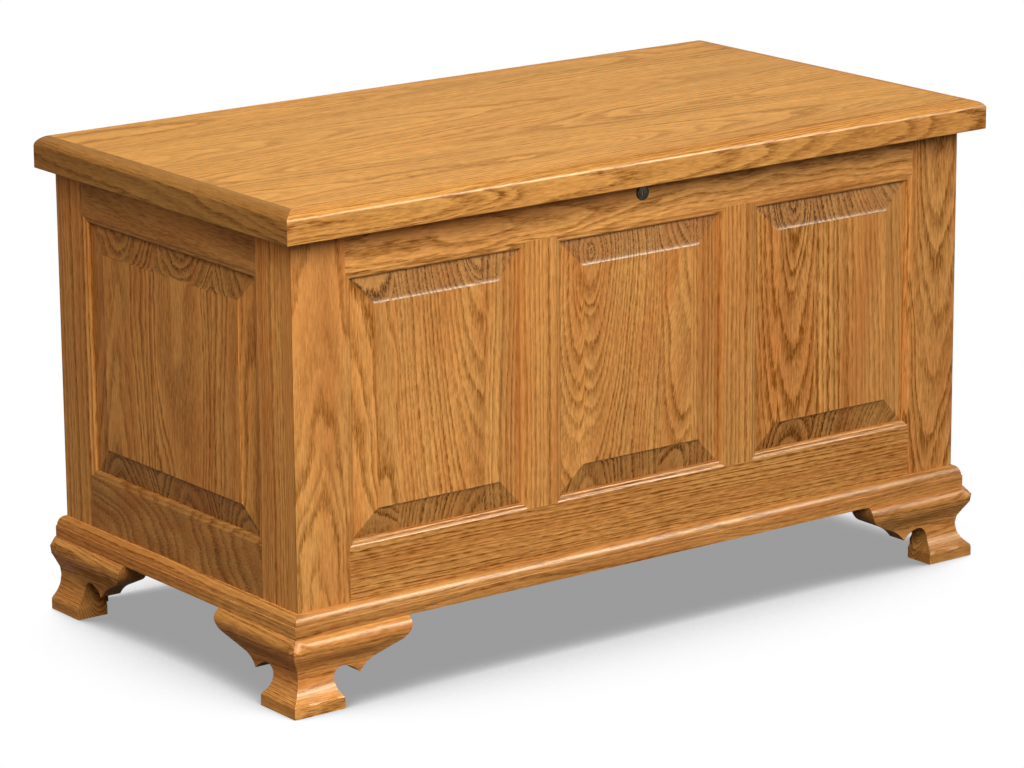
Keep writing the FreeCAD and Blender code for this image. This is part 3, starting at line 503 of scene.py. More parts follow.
# %% Rings to a closed skin
def lofted(rings, tube=False):
    """Rings of equal length, an array (rings, points, 3) in mm, joined one to the next.

    Each quad takes two neighbouring points of one ring and the same two of the next. The first and
    last ring are closed with a face each, or joined to each other for a tube.
    """
    count, size = rings.shape[:2]
    index = np.arange(count * size).reshape(count, size)
    here = index if tube else index[:-1]
    ahead = np.roll(index, -1, axis=0) if tube else index[1:]
    quads = np.stack([here, np.roll(here, -1, 1), np.roll(ahead, -1, 1), ahead], axis=-1)
    faces = quads.reshape(-1, 4).tolist()
    if not tube:
        faces += [index[0][::-1].tolist(), index[-1].tolist()]
    return rings.reshape(-1, 3), faces


def laid(skin, origin, along, across, depth):
    """The skin's own (along, across, depth) in the room, where each is a direction from origin."""
    points, faces = skin
    return np.array(origin) + points @ np.array([along, across, depth], float), faces


def mirrored(skin):
    """The same skin on the chest's other side: x changes sign."""
    points, faces = skin
    return points * (-1, 1, 1), faces


# %% [markdown]
# A skin becomes an object in its node's place: on the same body, with the material it is given. Flat
# stock whose solid is already right is kept, and only loses its sharp edges.

# %% Pieces
bodies = frame["record"]["behaviour"]["bodies"]
body_of = {node: body for body, nodes in bodies.items() for node in nodes}


def piece(name, skin, material, node, replace=True, sharp=32):
    """An object from a skin in mm, on the node's body. Creases over the sharp angle stay crisp.

    The weighted normals keep a board's wide faces flat right up to its eased edges.
    """
    points, faces = skin
    mesh = bpy.data.meshes.new(name)
    mesh.from_pydata((np.asarray(points) * MM).tolist(), [], faces)
    mesh.validate()
    work = bmesh.new()
    work.from_mesh(mesh)
    bmesh.ops.recalc_face_normals(work, faces=work.faces)
    work.to_mesh(mesh)
    work.free()
    mesh.polygons.foreach_set("use_smooth", [True] * len(mesh.polygons))
    mesh.set_sharp_from_angle(angle=math.radians(sharp))
    mesh.materials.append(material)
    made = bpy.data.objects.new(name, mesh)
    scene.collection.objects.link(made)
    flat = made.modifiers.new("flat faces", "WEIGHTED_NORMAL")
    flat.keep_sharp = True
    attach(made, body_of[node])
    if replace:
        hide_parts(node)


def oak_piece(node, skin, inward, grain=None, sharp=32):
    """A board that replaces its node. Its grain runs level along the face, if nothing is said."""
    grain = grain or ("y" if inward[-1] == "x" else "x")
    piece(node + "_oak", skin, oak(node, grain, inward), node, sharp=sharp)


def eased(node, material, width):
    """A CAD node kept as it is, with its edges taken off by width mm, as sandpaper leaves them."""
    kept = frame["nodes"][node]
    kept.data.materials.clear()
    kept.data.materials.append(material)
    weld = kept.modifiers.new("weld", "WELD")
    weld.merge_threshold = 0.02 * MM
    ease = kept.modifiers.new("ease", "BEVEL")
    ease.width = width * MM
    ease.segments = 2
    ease.angle_limit = math.radians(40)
    ease.harden_normals = True


# %% [markdown]
# All outlines are drawn with three kinds of curve: an arc through three points, an arc that grows
# out of a flat, and a quarter of an oval.

# %% Curves
def arc(start, middle, end, steps=8):
    """Arc through three points: the centre is equally far from all, then even angles from it."""
    a, b, c = (np.array(point, float) for point in (start, middle, end))
    equal = np.array([b - a, c - b]) * 2
    centre = np.linalg.solve(equal, [b @ b - a @ a, c @ c - b @ b])
    angles = np.unwrap([math.atan2(*(point - centre)[::-1]) for point in (a, b, c)])
    turn = np.linspace(angles[0], angles[2], steps + 1)
    return centre + np.linalg.norm(a - centre) * np.column_stack([np.cos(turn), np.sin(turn)])


def bow(tangent, end, steps=10):
    """Arc that leaves the first point along x and reaches the second."""
    run, rise = np.subtract(end, tangent)
    radius = (run ** 2 + rise ** 2) / (2 * rise)
    turn = np.linspace(0, math.asin(run / radius), steps + 1)
    return np.array(tangent) + radius * np.column_stack([np.sin(turn), 1 - np.cos(turn)])


def quarter(upright, level, steps):
    """Quarter of an oval: leaves the first point upright and arrives level at the second."""
    turn = np.linspace(0, math.pi / 2, steps + 1)
    across = level[0] + (upright[0] - level[0]) * np.cos(turn)
    rise = upright[1] + (level[1] - upright[1]) * np.sin(turn)
    return np.column_stack([across, rise])


print("middle of an arc", arc((1, 0), (0.6, 0.8), (-1, 0))[4])

# %% [markdown]
# ## The framed walls
# A frame-and-panel wall lets solid wood swell and shrink: stiles and rails hold a panel in their
# grooves, and it floats there. The frame's inner edge carries a moulding: a slanted lip, a narrow
# flat, then a quarter round. Where a rail meets a stile the moulding turns the corner as if
# mitred, although the rail is really scribed over it.
#
# Each board is its section drawn out along the grain. The trick is in the ends: a point that lies
# s into the moulding stops s later, so the moulded edges meet on the diagonal by themselves.

# %% Wall sizes
def box_mm(node):
    """Lowest and highest corner of a CAD node in mm."""
    return [np.array(corner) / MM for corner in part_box(node)]


low, high = box_mm("front_left_stile")
LEFT, FRONT, FOOT_TOP = low.tolist()
CASE_TOP = float(high[2])
STOCK = float(high[1] - low[1])
BACK = float(box_mm("left_rear_stile")[1][1])
STICKING = 8.5                     # width of the moulded edge
SLANT = (3.0, 1.4)                 # its lip: how wide, how deep
FLAT = (4.5, 1.5)                  # where the flat ends and the quarter round begins
LIP = 5.2                          # where it ends, above the groove
GROOVE = (6.5, 12.5)
GROOVE_DEPTH = 9.5
STILE, MULLION = 76.0, 44.0        # faces of the front's uprights
TOP_RAIL, BOTTOM_RAIL = 64.0, 94.0
END_FRONT, END_REAR = 53.5, 62.0   # faces of an end's stiles
RABBET, RABBET_LIP = 19.0, 9.5
HEIGHT = CASE_TOP - FOOT_TOP
WIDTH = -2 * LEFT
DEPTH = BACK - FRONT - STOCK       # an end wall fits behind the front
EASE = 0.9                         # radius of the sanded corners

moulding = np.vstack([[(0, 0)], bow((0, 0), (0.8, 0.2), 2)[1:], [SLANT], bow(FLAT, (STICKING, LIP)),
                      [(STICKING, STOCK)]])
print("walls", WIDTH, DEPTH, HEIGHT)

# %% Framing boards
def edge(at, out, kind):
    """A board's long edge from face to back, as rows of (across, depth, how late it ends).

    Moulded: lip, quarter round, groove. Plain: straight, with a sanded corner; its rows still
    follow the moulding's depths, so a scribed end is right all the way through.
    """
    if kind == "moulded":
        tongue = [(0, GROOVE[0]), (-GROOVE_DEPTH, GROOVE[0]), (-GROOVE_DEPTH, GROOVE[1]),
                  (0, GROOVE[1]), (0, STOCK)]
        face = [(s - STICKING, d, s) for s, d in moulding[:-1]]
        rows = np.array(face + [(s, d, STICKING) for s, d in tongue])
    elif kind == "rabbet":
        rows = np.array([(0, 0, 0), (0, RABBET_LIP, 0), (-RABBET, RABBET_LIP, 0), (-RABBET, STOCK, 0)])
    else:
        corner = arc((-EASE, 0), (-EASE * 0.3, EASE * 0.3), (0, EASE), 4)
        rows = np.array([(s, d, 0) for s, d in corner] + [(0, d, s) for s, d in moulding[1:]])
    return rows * (out, 1, 1) + (at, 0, 0)


def board(width, near, far, length, scribed=0.0):
    """A framing board: its section's outline, drawn along its length.

    Where the ends are scribed, 1, a point starts and stops short by its lateness.
    """
    outline = np.vstack([edge(width, 1, far), edge(0, -1, near)[::-1]])
    across, depth, late = outline.T
    rings = [np.column_stack([end, across, depth]) for end in (scribed * late, length - scribed * late)]
    return lofted(np.array(rings))


# %% [markdown]
# A raised panel is a stack of rectangles that shrink while they climb, from the tongue that sits
# in the groove up to the flat field in the middle.

# %% Raised panel
TONGUE, PLAY = 8.0, 0.2            # how far the tongue reaches in, and its play in the groove
BEVEL, COVE = 33.5, 9.0            # from the sight edge to the field, and the hollow part of that
FIELD, LEDGE, MARGIN = 0.5, 1.3, 6.7       # depths of the field, its shoulder's foot, the sight edge
CLIMB = 3.3                        # how much the sloping margin climbs
BEND = (7.0, -0.94)                # from the cove's start to where its two tangents meet
SHOULDER = 0.5                     # radius of the field's edge


def raised_panel(wide, tall):
    """Panel for a sight opening. Each rectangle's inset and depth are one row of the section.

    Outwards in: tongue, sloping margin, cove, shoulder, field. The cove is a curve with two
    tangents, the margin's own slope and a steeper one, that meet at bend.
    """
    foot, crest = np.array((BEVEL - COVE, MARGIN - CLIMB)), np.array((BEVEL, LEDGE))
    bend = foot + BEND
    t = np.linspace(0, 1, 11)[:, None]
    hollow = (1 - t) ** 2 * foot + 2 * t * (1 - t) * bend + t ** 2 * crest
    crown = arc((BEVEL, FIELD + SHOULDER), (BEVEL + 0.15, FIELD + 0.15), (BEVEL + SHOULDER, FIELD), 3)
    section = np.vstack([[(-TONGUE, GROOVE[1] - PLAY), (-TONGUE, MARGIN), (0, MARGIN)], hollow, crown])
    inset, depth = section.T
    corners = ((inset, inset), (tall - inset, inset), (tall - inset, wide - inset), (inset, wide - inset))
    return lofted(np.stack([np.column_stack([rise, across, depth]) for rise, across in corners], axis=1))


# %% Walls
def wall(origin, across, inward, width, near, far, near_edge="plain", mullions=0):
    """All boards of a framed wall by role: near and far are the faces of its outer stiles.

    The openings are what the uprights leave of the width, shared out evenly.
    """
    origin = np.array(origin, float)
    span = width - near - far
    tall = HEIGHT - TOP_RAIL - BOTTOM_RAIL
    opening = (span - mullions * MULLION) / (mullions + 1)

    def upright(skin, at, rise=0.0):
        return laid(skin, origin + across * at + Z * rise, Z, across, inward)

    def level(skin, at):
        return laid(skin, origin + across * near + Z * at, across, Z, inward)

    skins = {
        "near stile": upright(board(near + STICKING, near_edge, "moulded", HEIGHT), 0),
        "far stile": upright(board(far + STICKING, "moulded", "plain", HEIGHT), width - far - STICKING),
        "top rail": level(board(TOP_RAIL + STICKING, "moulded", "plain", span, 1),
                          HEIGHT - TOP_RAIL - STICKING),
        "bottom rail": level(board(BOTTOM_RAIL + STICKING, "plain", "moulded", span, 1), 0)}
    lefts = [near + number * (opening + MULLION) for number in range(mullions + 1)]
    for number, left in enumerate(lefts[:-1]):
        skins["mullion %d" % number] = upright(
            board(MULLION + 2 * STICKING, "moulded", "moulded", tall, 1), left + opening - STICKING,
            BOTTOM_RAIL)
    for number, left in enumerate(lefts):
        skins["panel %d" % number] = upright(raised_panel(opening - 2 * STICKING, tall - 2 * STICKING),
                                             left + STICKING, BOTTOM_RAIL + STICKING)
    return skins


def dress(skins, side, names, inward):
    """Makes a wall's boards in the order of the names; all but rails have upright grain.

    A panel's bevels slope by only 8 degrees, so its mitres count as creases from 6 degrees up.
    """
    for (role, skin), name in zip(skins.items(), names.split()):
        oak_piece(side + "_" + name, skin, inward, None if "rail" in role else "z",
                  6 if "panel" in role else 32)


# %% [markdown]
# ## The front and the ends
# An end is the same frame as the front with a single panel. The front is grooved over its front
# stile, so that stile is cut back by a rabbet and shows narrower than the rear one. The right end
# is the left one in a mirror.

# %% Front and end walls
front = wall((LEFT, FRONT, FOOT_TOP), X, Y, WIDTH, STILE, STILE, mullions=2)
dress(front, "front", "left_stile right_stile top_rail bottom_rail left_mullion right_mullion "
      "left_panel middle_panel right_panel", "y")
end = wall((LEFT, BACK, FOOT_TOP), -Y, X, DEPTH, END_REAR, END_FRONT, "rabbet")
END_NAMES = "rear_stile front_stile top_rail bottom_rail panel"
dress(end, "left", END_NAMES, "x")
dress({role: mirrored(skin) for role, skin in end.items()}, "right", END_NAMES, "-x")
print("boards of the front", len(front), "and of an end", len(end))

# %% [markdown]
# ## Mouldings
# The base moulding and the lid's edge are sticks with a rounded upper edge, cut at 45 degrees so
# that the profile turns the corner. A mitre is easy to say in numbers: a point that stands p out
# of the wall also runs p further at each mitred end.

# %% Mouldings
def stick(outline, start, stop, mitred):
    """A stick: point (p, z) runs from start - p to stop, or to stop + p where that is mitred too."""
    out = outline[:, 0]
    rings = [np.column_stack([end, outline]) for end in (start - out, stop + out * mitred)]
    return lofted(np.array(rings))


BASE_OUT, BASE_FLAT, BASE_TALL, BASE_STEP = 11.0, 15.0, 28.5, 1.2
LID_OUT, LID_TALL, LID_ROUND = 22.0, 38.0, 10.5
base_outline = np.vstack([[(0, 0), (BASE_OUT, 0)],
                          arc((BASE_OUT, BASE_FLAT - 0.6), (BASE_OUT - 0.2, BASE_FLAT - 0.2),
                              (BASE_OUT - 0.6, BASE_FLAT), 3),
                          quarter((BASE_OUT - BASE_STEP, BASE_FLAT), (0, BASE_TALL), 14)])
lid_outline = np.vstack([[(0, 0)], arc((LID_OUT - 1, 0), (LID_OUT - 0.3, 0.3), (LID_OUT, 1), 4),
                         quarter((LID_OUT, LID_TALL - LID_ROUND), (0, LID_TALL), 16)])

low, high = box_mm("lid_panel")
base = ("base", base_outline, (LEFT, FRONT), (-LEFT, BACK), FOOT_TOP, 1)
lid = ("lid", lid_outline, low[:2], high[:2], float(high[2]) - LID_TALL, 0)
for (name, outline, low, high, foot, mitred), side, inward in (
        (base, "front", "y"), (base, "back", "-y"), (base, "left", "x"), (base, "right", "-x"),
        (lid, "front", "y"), (lid, "left", "x"), (lid, "right", "-x")):
    corner = high if inward.startswith("-") else low
    if inward[-1] == "y":          # a front or back stick, mitred at both ends on every frame
        origin, along, bar = (0, corner[1], foot), X, stick(outline, low[0], high[0], 1)
    else:
        origin, along, bar = (corner[0], 0, foot), Y, stick(outline, low[1], high[1], mitred)
    oak_piece("%s_moulding_%s" % (name, side), laid(bar, origin, along, -axis(inward), Z), inward)
print("outlines of base and lid", len(base_outline), len(lid_outline), "points")

# %% [markdown]
# ## Ogee bracket feet
# Each front foot is two boards with an S-shaped face, the ogee, mitred at the corner. The lower
# edge is then sawn to a scroll: a pad to stand on, a round bite, a pointed cusp and a wave out to
# the tip. Face and scroll are two separate curves, and the saw cuts square through both.
#
# So a foot is a fan of lines. Each starts at a point of the scroll and ends at the mitre or the
# top edge, and every point on it is pushed out by what the ogee says for its height.

# %% Scroll and ogee
PAD = 14.0                         # height of the pad; up() measures from there to the foot's top
FOOT_LONG, PAD_LONG, NECK, CUSP = 152.0, 52.0, 46.0, 84.5        # places along the foot
FOOT_IN = 23.0                     # how far its back lies inside the wall's face
REAR_OUT, REAR_STOCK = 12.0, 19.0  # the flat board at the back: how far out, how thick


def up(share):
    return PAD + share * (FOOT_TOP - PAD)


ogee_curve = np.vstack([[(20, 0), (20, PAD - 0.5), (19.7, PAD)],
                        arc((19.2, up(0.02)), (10.1, up(0.14)), (4.7, up(0.35)), 12),
                        arc((4.7, up(0.35)), (6.1, up(0.48)), (10.0, up(0.59)), 8),
                        arc((10.0, up(0.59)), (17.5, up(0.72)), (20.0, up(0.85)), 10),
                        arc((20.0, up(0.85)), (17.4, up(0.94)), (12.0, FOOT_TOP), 8)])
flat_curve = np.array([(REAR_OUT, 0), (REAR_OUT, FOOT_TOP)])
ARCH = (NECK + CUSP) / 2           # the bite's middle
WING = FOOT_LONG - CUSP            # what is left beyond the cusp
saddle = (CUSP + 0.29 * WING, up(0.47))
scroll = np.vstack([[(PAD_LONG, 0), (PAD_LONG, PAD * 0.5)],
                    arc((PAD_LONG, PAD), (NECK + 0.9, up(0.13)), (NECK, up(0.27)), 8),
                    arc((NECK, up(0.27)), (NECK + 4.7, up(0.385)), (ARCH - 4, up(0.43)), 8)[1:],
                    arc((ARCH - 4, up(0.43)), (ARCH + 8, up(0.375)), (CUSP, up(0.27)), 8)[1:],
                    arc((CUSP, up(0.27)), (CUSP + 0.13 * WING, up(0.385)), saddle, 6)[1:],
                    arc((CUSP + 0.76 * WING, up(0.65)), (CUSP + 0.93 * WING, up(0.76)),
                        (FOOT_LONG, up(0.93)), 8)])
print("rows in a scroll", len(scroll), "and in an ogee", len(ogee_curve))

# %% Bracket feet
ARCH_TOP = up(0.40)                # above this the fan's lines go to the top edge
NECK_ROW = 9                       # the scroll's row, just before the neck, whose line runs level
FAN = 28                           # steps along each line of the fan


def bracket(corner, curve, back):
    """Sawn bracket: lines of points (along, out, up) from the scroll to its far side.

    Far side: up the corner for the part before the arch, then along the top edge. Corner is
    "mitred", which runs as far as the ogee stands out, or a fixed place.
    """
    along, height = scroll.T
    turn = int(np.argmax(height > ARCH_TOP))
    rows = np.arange(len(scroll))
    climb = np.interp(rows, [0, NECK_ROW, turn], [0, height[NECK_ROW], FOOT_TOP])
    far_height = np.where(rows < turn, climb, FOOT_TOP)
    far_along = np.interp(rows, [turn, len(scroll) - 1], [0, FOOT_LONG])
    share = np.linspace(0, 1, FAN + 1)
    z = height[:, None] + (far_height - height)[:, None] * share

    def out(z):
        return np.interp(z, curve[:, 1], curve[:, 0])

    def side(depth, end):
        far = np.where(rows < turn, end, far_along + end * (1 - far_along / FOOT_LONG))
        reach = along[:, None] + (far - along)[:, None] * share
        return np.stack([reach, depth, z], axis=-1)

    mitred = corner == "mitred"
    front = side(out(z), -out(far_height) if mitred else corner)
    rear = side(np.full_like(z, back), -back if mitred else corner)
    return lofted(np.concatenate([front, rear[:, ::-1]], axis=1))


for node, corner, curve, back, origin, along, inward in (
        ("foot_front_left_front", "mitred", ogee_curve, -FOOT_IN, (LEFT, FRONT, 0), X, "y"),
        ("foot_front_left_side", "mitred", ogee_curve, -FOOT_IN, (LEFT, FRONT, 0), Y, "x"),
        ("foot_rear_left_side", -REAR_OUT, ogee_curve, -FOOT_IN, (LEFT, BACK, 0), -Y, "x"),
        ("foot_rear_left_back", FOOT_IN, flat_curve, REAR_OUT - REAR_STOCK, (LEFT, BACK, 0), X, "-y")):
    skin = laid(bracket(corner, curve, back), origin, along, -axis(inward), Z)
    oak_piece(node, skin, inward, sharp=28)
    oak_piece(node.replace("left", "right"), mirrored(skin), inward.replace("x", "-x"), sharp=28)
print("brackets", len([node for node in frame["nodes"] if node.startswith(("foot_front", "foot_rear"))]))

# %% [markdown]
# ## Plain boards
# The back, the cleats under the bottom, the glue blocks, the lid's battens and the lid's board are
# flat stock. Their solids are already right, so they stay, with their edges eased and a finish.

# %% Plain boards
FLAT_STOCK = {                     # grain and inward
    "lid_panel": ("x", "-z"), "lid_battens": ("y", "-z"), "bottom_cleats": ("x", "-z"),
    "foot_glue_blocks": ("z", "y"), "back_left_stile": ("z", "-y"), "back_right_stile": ("z", "-y"),
    "back_top_rail": ("x", "-y"), "back_bottom_rail": ("x", "-y"), "back_panel": ("z", "-y")}
for node, (grain, inward) in FLAT_STOCK.items():
    eased(node, oak(node, grain, inward), 0.15 if node == "lid_panel" else 0.6)
print("plain boards", len(FLAT_STOCK))

# %% [markdown]
# ## Cedar
# A blanket chest has a bottom of aromatic red cedar, which keeps moths away. Its heartwood is a
# pinkish red-brown, streaked with cream sapwood and set with small dark knots that the grain flows
# round. It comes in narrow planks, and each one takes its own shade. It is left bare for the
# smell, so it gets no lacquer and stays dull.

# %% Cedar bottom
PLANK = 0.09                       # width of a plank in metres
KNOTS = (7.0, 11.0, 0.0)           # a metre along the grain, and across it
HEART, DARK_HEART, SAP, KNOT = (linear(code) for code in ("#C8845C", "#AC6642", "#E3C096", "#6B3A26"))


def red_cedar(name, centre):
    """Grain along x, bent away from knots; planks side by side across y, each with its own shade."""
    material, node = fresh(name)
    place = node("Mapping", node("TexCoord").outputs["Object"], centre, vector_type="TEXTURE")
    across = node("SeparateXYZ", place).outputs["Y"]
    plank = node("Math FLOOR", node("Math DIVIDE", across, PLANK))
    own = node("TexWhiteNoise", {"W": plank}, noise_dimensions="1D")
    shifted = node("VectorMath ADD", place, node("CombineXYZ", own, own, plank))

    spread = node("VectorMath MULTIPLY", shifted, KNOTS)
    cells = node("TexVoronoi", {"Vector": spread, "Scale": 1.0})
    knot = node("MapRange", cells, 0.03, 0.20, 1.0, 0.0, interpolation_type="SMOOTHERSTEP")
    swirl = node("Math MULTIPLY_ADD", knot, 0.02, across)
    grain = node("CombineXYZ", node("SeparateXYZ", shifted), swirl, plank)
    streaks = []
    for stretch, low, high in (((1.2, 26.0, 3.0), 0.55, 0.63), ((2.0, 300.0, 3.0), 0.3, 0.7)):
        spread = node("VectorMath MULTIPLY", grain, stretch)
        streak = node("TexNoise", {"Vector": spread, "Scale": 1.0, "Detail": 3.0})
        streaks.append(node("MapRange", streak, low, high, 0.0, 1.0))
    sap, rings = streaks
    wood = node("Mix RGBA", {0: rings, 6: HEART, 7: DARK_HEART})
    wood = node("Mix RGBA", {0: sap, 6: wood, 7: SAP})
    wood = node("Mix RGBA", {0: knot, 6: wood, 7: KNOT})
    light = node("MapRange", own, 0.0, 1.0, 0.86, 1.12)
    return shade(material, {"Base Color": node("VectorMath SCALE", {0: wood, "Scale": light}),
                            "Roughness": 0.6, "Specular IOR Level": 0.2})


eased("bottom_board", red_cedar("bare_red_cedar", face_centre("bottom_board", "-z")), 0.5)
print("cedar planks", round((BACK - FRONT) * MM / PLANK, 1))

# %% [markdown]
# ## Metal finishes
# The hinges are solid brass, brushed lengthwise and left satin. The stay is steel strip under a
# thin coat of zinc, grey-blue and faintly cloudy, because zinc grows in crystals. The lock is cast,
# plated and then darkened to antique bronze, while the plug that the key turns is nickel drawn nearly black.
#
# A metal has no colour of its own apart from its reflections, so what tells them apart is the tint
# and how blurred the reflections are. Both drift a little over the surface. Brush lines on the
# real ones are finer than 0.1 mm, so they are drawn 1 mm apart.

# %% Metal finishes
def metal(name, bright, dull, rough, brushed):
    """Clouds mix a bright and a dull tint; fine lines vary the roughness and the relief.

    brushed is how often the lines change along x, y and z in a metre: a small number gives long
    lines on that axis.
    """
    material, node = fresh(name)
    place = node("TexCoord").outputs["Object"]
    clouds = node("TexNoise", {"Vector": place, "Scale": 90.0, "Detail": 3.0})
    spread = node("VectorMath MULTIPLY", place, brushed)
    lines = node("TexNoise", {"Vector": spread, "Scale": 1.0, "Detail": 2.0})
    worn = node("MapRange", clouds, 0.35, 0.65, 0.0, 1.0)
    return shade(material, {
        "Base Color": node("Mix RGBA", {0: worn, 6: linear(bright), 7: linear(dull)}),
        "Roughness": node("MapRange", lines, 0.3, 0.7, rough - 0.07, rough + 0.09),
        "Normal": node("Bump", {"Strength": 0.3, "Distance": 0.02 * MM, "Height": lines}),
        "Metallic": 1.0})


brass = metal("brushed_brass", "#C9AC74", "#A5874F", 0.38, (60, 1000, 1000))
zinc = metal("zinc_plated_steel", "#C4C8CA", "#9AA0A4", 0.34, (500, 500, 500))
bronze = metal("antique_bronze", "#4A3D28", "#211C14", 0.36, (900, 900, 900))
nickel = metal("nickel_plate", "#C2BEB4", "#98948A", 0.28, (900, 900, 900))
# the keyed plug: nickel drawn nearly black, far darker than the cam and keeper
dark_nickel = metal("dark_nickel_plate", "#47433E", "#282521", 0.30, (900, 900, 900))
metals = (brass, zinc, bronze, nickel, dark_nickel)
for finish, nodes in (
        (brass, "hinge_case_leaf_left hinge_case_leaf_right hinge_lid_leaf_left hinge_lid_leaf_right "
                "hinge_pins"),
        (zinc, "stay_track stay_bracket stay_arm"), (nickel, "lock_nut lock_cam lock_keeper")):
    for node in nodes.split():
        eased(node, finish, 0.25)
print("metals", [finish.name for finish in metals])

# %% [markdown]
# ## The lock
# Of the lock, the front shows a ring and the keyed plug inside it. Both are turned parts, so each
# is an outline spun round one axis: every point of the outline becomes a circle. The ring's rim
# is rounded over, and that rounding is what catches the light.
#
# The plug's key slot and the square tang that carries the cam are not round. There the circle's own
# points are moved onto the slot's or the square's outline, so one skin still runs through all.

# %% Lock ring
def turned(outline, steps=64):
    """Each outline point (height, radius) becomes a circle of that radius at that height."""
    height, radius = np.array(outline, float).T[..., None]
    turn = np.arange(steps) / steps * 2 * math.pi
    return np.stack([height + 0 * turn, radius * np.cos(turn), radius * np.sin(turn)], axis=-1)


low, high = box_mm("lock_cylinder")
LOCK = (0.0, FRONT, float(low[2] + high[2]) / 2)
TAIL = FRONT - float(high[1])              # end of the barrel, behind the face of the wall
BEZEL, BARREL, BORE, SEAT, PROUD = 9.5, 8.0, 5.55, 7.05, 2.0     # four radii, and how far it stands out
rim = arc((1.0, BEZEL), (1.75, BEZEL - 0.3), (PROUD, BEZEL - 1.0), 6)
bezel = np.vstack([[(TAIL, BARREL), (0, BARREL), (0, BEZEL)], rim,
                   [(PROUD, SEAT + 0.5), (PROUD - 0.35, SEAT), (-0.1, SEAT), (-0.1, BORE), (TAIL, BORE)]])
piece("lock_ring", laid(lofted(turned(bezel), tube=True), LOCK, -Y, X, Z), bronze, "lock_cylinder")
print("lock at", LOCK, "tail", TAIL)

# %% Lock plug
PLUG, FLANGE, FACE, CHAMFER, SLOT_DEEP, TANG_LONG = 5.5, 7.0, 1.4, 0.3, 9.0, 1.9
plug_back = box_mm("lock_plug")[1][1]
plug_tail = FRONT - float(plug_back)
circle = turned([(0.0, 1.0)])[0, :, 1:]
slot = np.clip(circle * (2.7, 3.7), (-0.9, -3.5), (0.9, 3.5))     # 1.8 wide and 7 tall
tang = np.clip(circle * 4, -2.75, 2.75)                           # 5.5 square, for the cam
outline = [(plug_tail, tang), (plug_tail + TANG_LONG, tang), (plug_tail + TANG_LONG, circle * PLUG),
           (0.0, circle * PLUG), (0.0, circle * FLANGE), (FACE - CHAMFER, circle * FLANGE),
           (FACE, circle * (FLANGE - CHAMFER)), (FACE, slot), (-SLOT_DEEP, slot)]
rings = np.array([np.column_stack([np.full(len(ring), height), ring]) for height, ring in outline])
piece("lock_plug_keyed", laid(lofted(rings), LOCK, -Y, X, Z), dark_nickel, "lock_plug")
print("plug's tail", plug_tail)

# %% [markdown]
# ## Screws
# Slotted countersunk screws hold the hinges, the stay and the lock's keeper. Only their heads
# show. A head is cut into slices along its slot, and each slice is the same ten-point outline,
# as wide as the round head is there, with a notch in the middle. No two screws stop at the same
# turn.

# %% Screw heads
SLOT_WIDTH, SLOT_DEPTH = 0.9, 0.8
SUNK = 1.2                         # how deep a head goes on below the metal's face
END_ANGLE = 0.06                   # the first and last slice stay this far from the very end
FIRST_TURN, NEXT_TURN = 0.7, 2.4   # radians, so that the slots point every way


def slotted_head(across, proud, slices=24):
    """Slices at -r..r, each as wide as the circle's chord there, with its corners taken off."""
    radius = across / 2
    along = -radius * np.cos(np.linspace(END_ANGLE, math.pi - END_ANGLE, slices))
    half = np.sqrt(radius ** 2 - along ** 2)[:, None]
    slot, ease = np.minimum(SLOT_WIDTH / 2, half * 0.8), np.minimum(0.2, half * 0.1)
    zero = np.zeros_like(half)
    top, floor = zero + proud, zero + proud - SLOT_DEPTH
    out = np.hstack([-half, -half, -half + ease, -slot, -slot, slot, slot, half - ease, half, half])
    up = np.hstack([zero - SUNK, top - ease, top, top, floor, floor, top, top, top - ease, zero - SUNK])
    return lofted(np.stack([np.broadcast_to(along[:, None], out.shape), out, up], axis=-1))


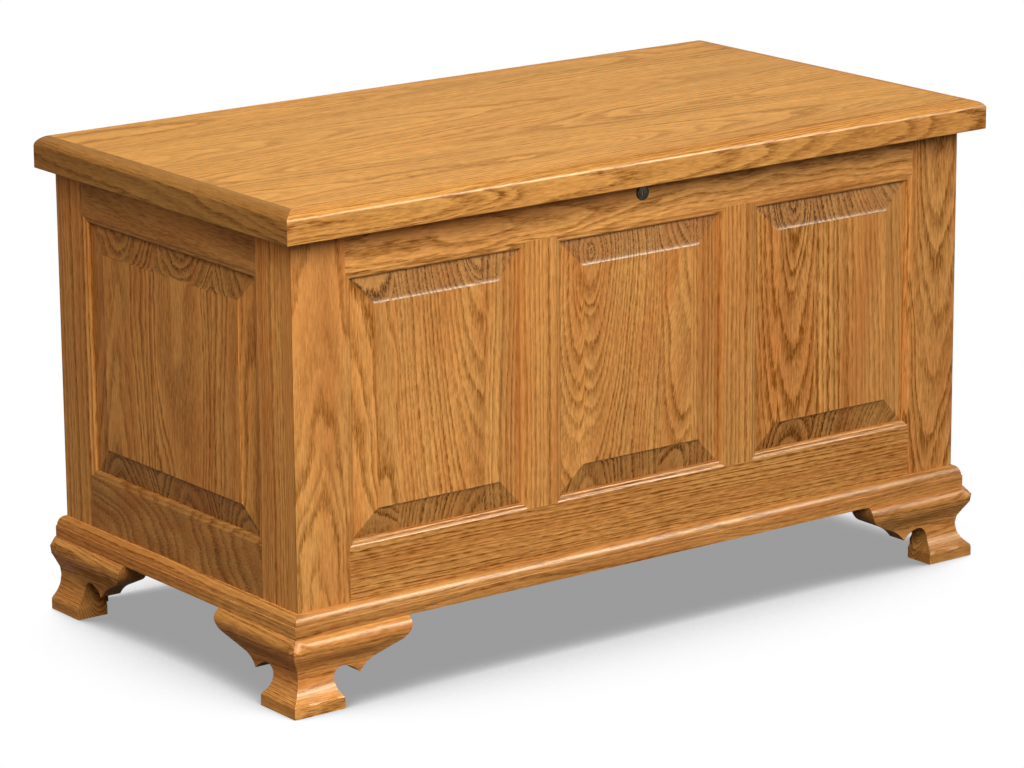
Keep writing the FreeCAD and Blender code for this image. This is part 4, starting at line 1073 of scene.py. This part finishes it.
def screws(name, node, material, places, out, across=7.0, proud=0.2):
    """Screw heads at places, which face out, in one mesh. Each is stopped at its own turn."""
    points, faces = [], []
    first = Y if abs(out[0]) == 1 else X
    second = np.cross(out, first)
    for number, at in enumerate(places):
        angle = FIRST_TURN + NEXT_TURN * number
        turn = first * math.cos(angle) + second * math.sin(angle)
        head, quads = laid(slotted_head(across, proud), at, turn, np.cross(out, turn), out)
        faces += [[len(points) + corner for corner in quad] for quad in quads]
        points += head.tolist()
    piece(name, (points, faces), material, node, replace=False)


# %% [markdown]
# Each leaf of a hinge has three screws, the middle one set back so that they don't split the wood
# along one line. Every offset is counted in mm from the edge or the middle of its metal part.

# %% Screws
for hand in ("left", "right"):
    for leaf, out in (("hinge_case_leaf_", Z), ("hinge_lid_leaf_", -Z)):
        low, high = box_mm(leaf + hand)
        middle = (low[0] + high[0]) / 2
        face = CASE_TOP - 0.3 * out[2]
        spots = [(middle + side * 27, low[1] + inset, face)
                 for side, inset in ((1, 6.5), (0, 9.0), (-1, 6.5))]
        screws(leaf.replace("leaf", "screws") + hand, leaf + hand, brass, spots, out)

STAY_HALF = 8.0                    # half of the track's width, so its end screws sit in the middle
low, high = box_mm("stay_track")
ends = [(high[0], low[1] + STAY_HALF, low[2] + STAY_HALF),
        (high[0], high[1] - STAY_HALF, high[2] - STAY_HALF)]
screws("stay_track_screws", "stay_track", zinc, ends, X, proud=0.5)
low, high = box_mm("stay_bracket")
middle = (low[1] + high[1]) / 2
spots = [(high[0] - 6.5, middle + side * 14, high[2] - 2.5) for side in (-1, 1)]
screws("stay_bracket_screws", "stay_bracket", zinc, spots, -Z, proud=0.5)
low, high = box_mm("lock_keeper")
middle = (low[0] + high[0]) / 2
spots = [(middle + side * 12, high[1] - 8, high[2] - 2) for side in (-1, 1)]
screws("lock_keeper_screws", "lock_keeper", nickel, spots, -Z, proud=0.4)
screws("lock_cam_screw", "lock_plug", nickel, [(0.0, plug_back, LOCK[2])], Y, across=8.0, proud=1.6)

# %% [markdown]
# ## Keeping the strip off the metal
# The strip is far brighter than a real lamp, because lacquer gives back only a few hundredths of
# it. Bare metal would give back nearly all and burn out, so the strip lights the wood alone. Light
# linking does this: a lamp may name the collection of objects that receive it.

# %% Light linking
wooden = bpy.data.collections.new("wooden pieces")
for part in scene.objects:
    if part.type == "MESH" and part != floor and part.data.materials and part.data.materials[0] not in metals:
        wooden.objects.link(part)
strip.light_linking.receiver_collection = wooden
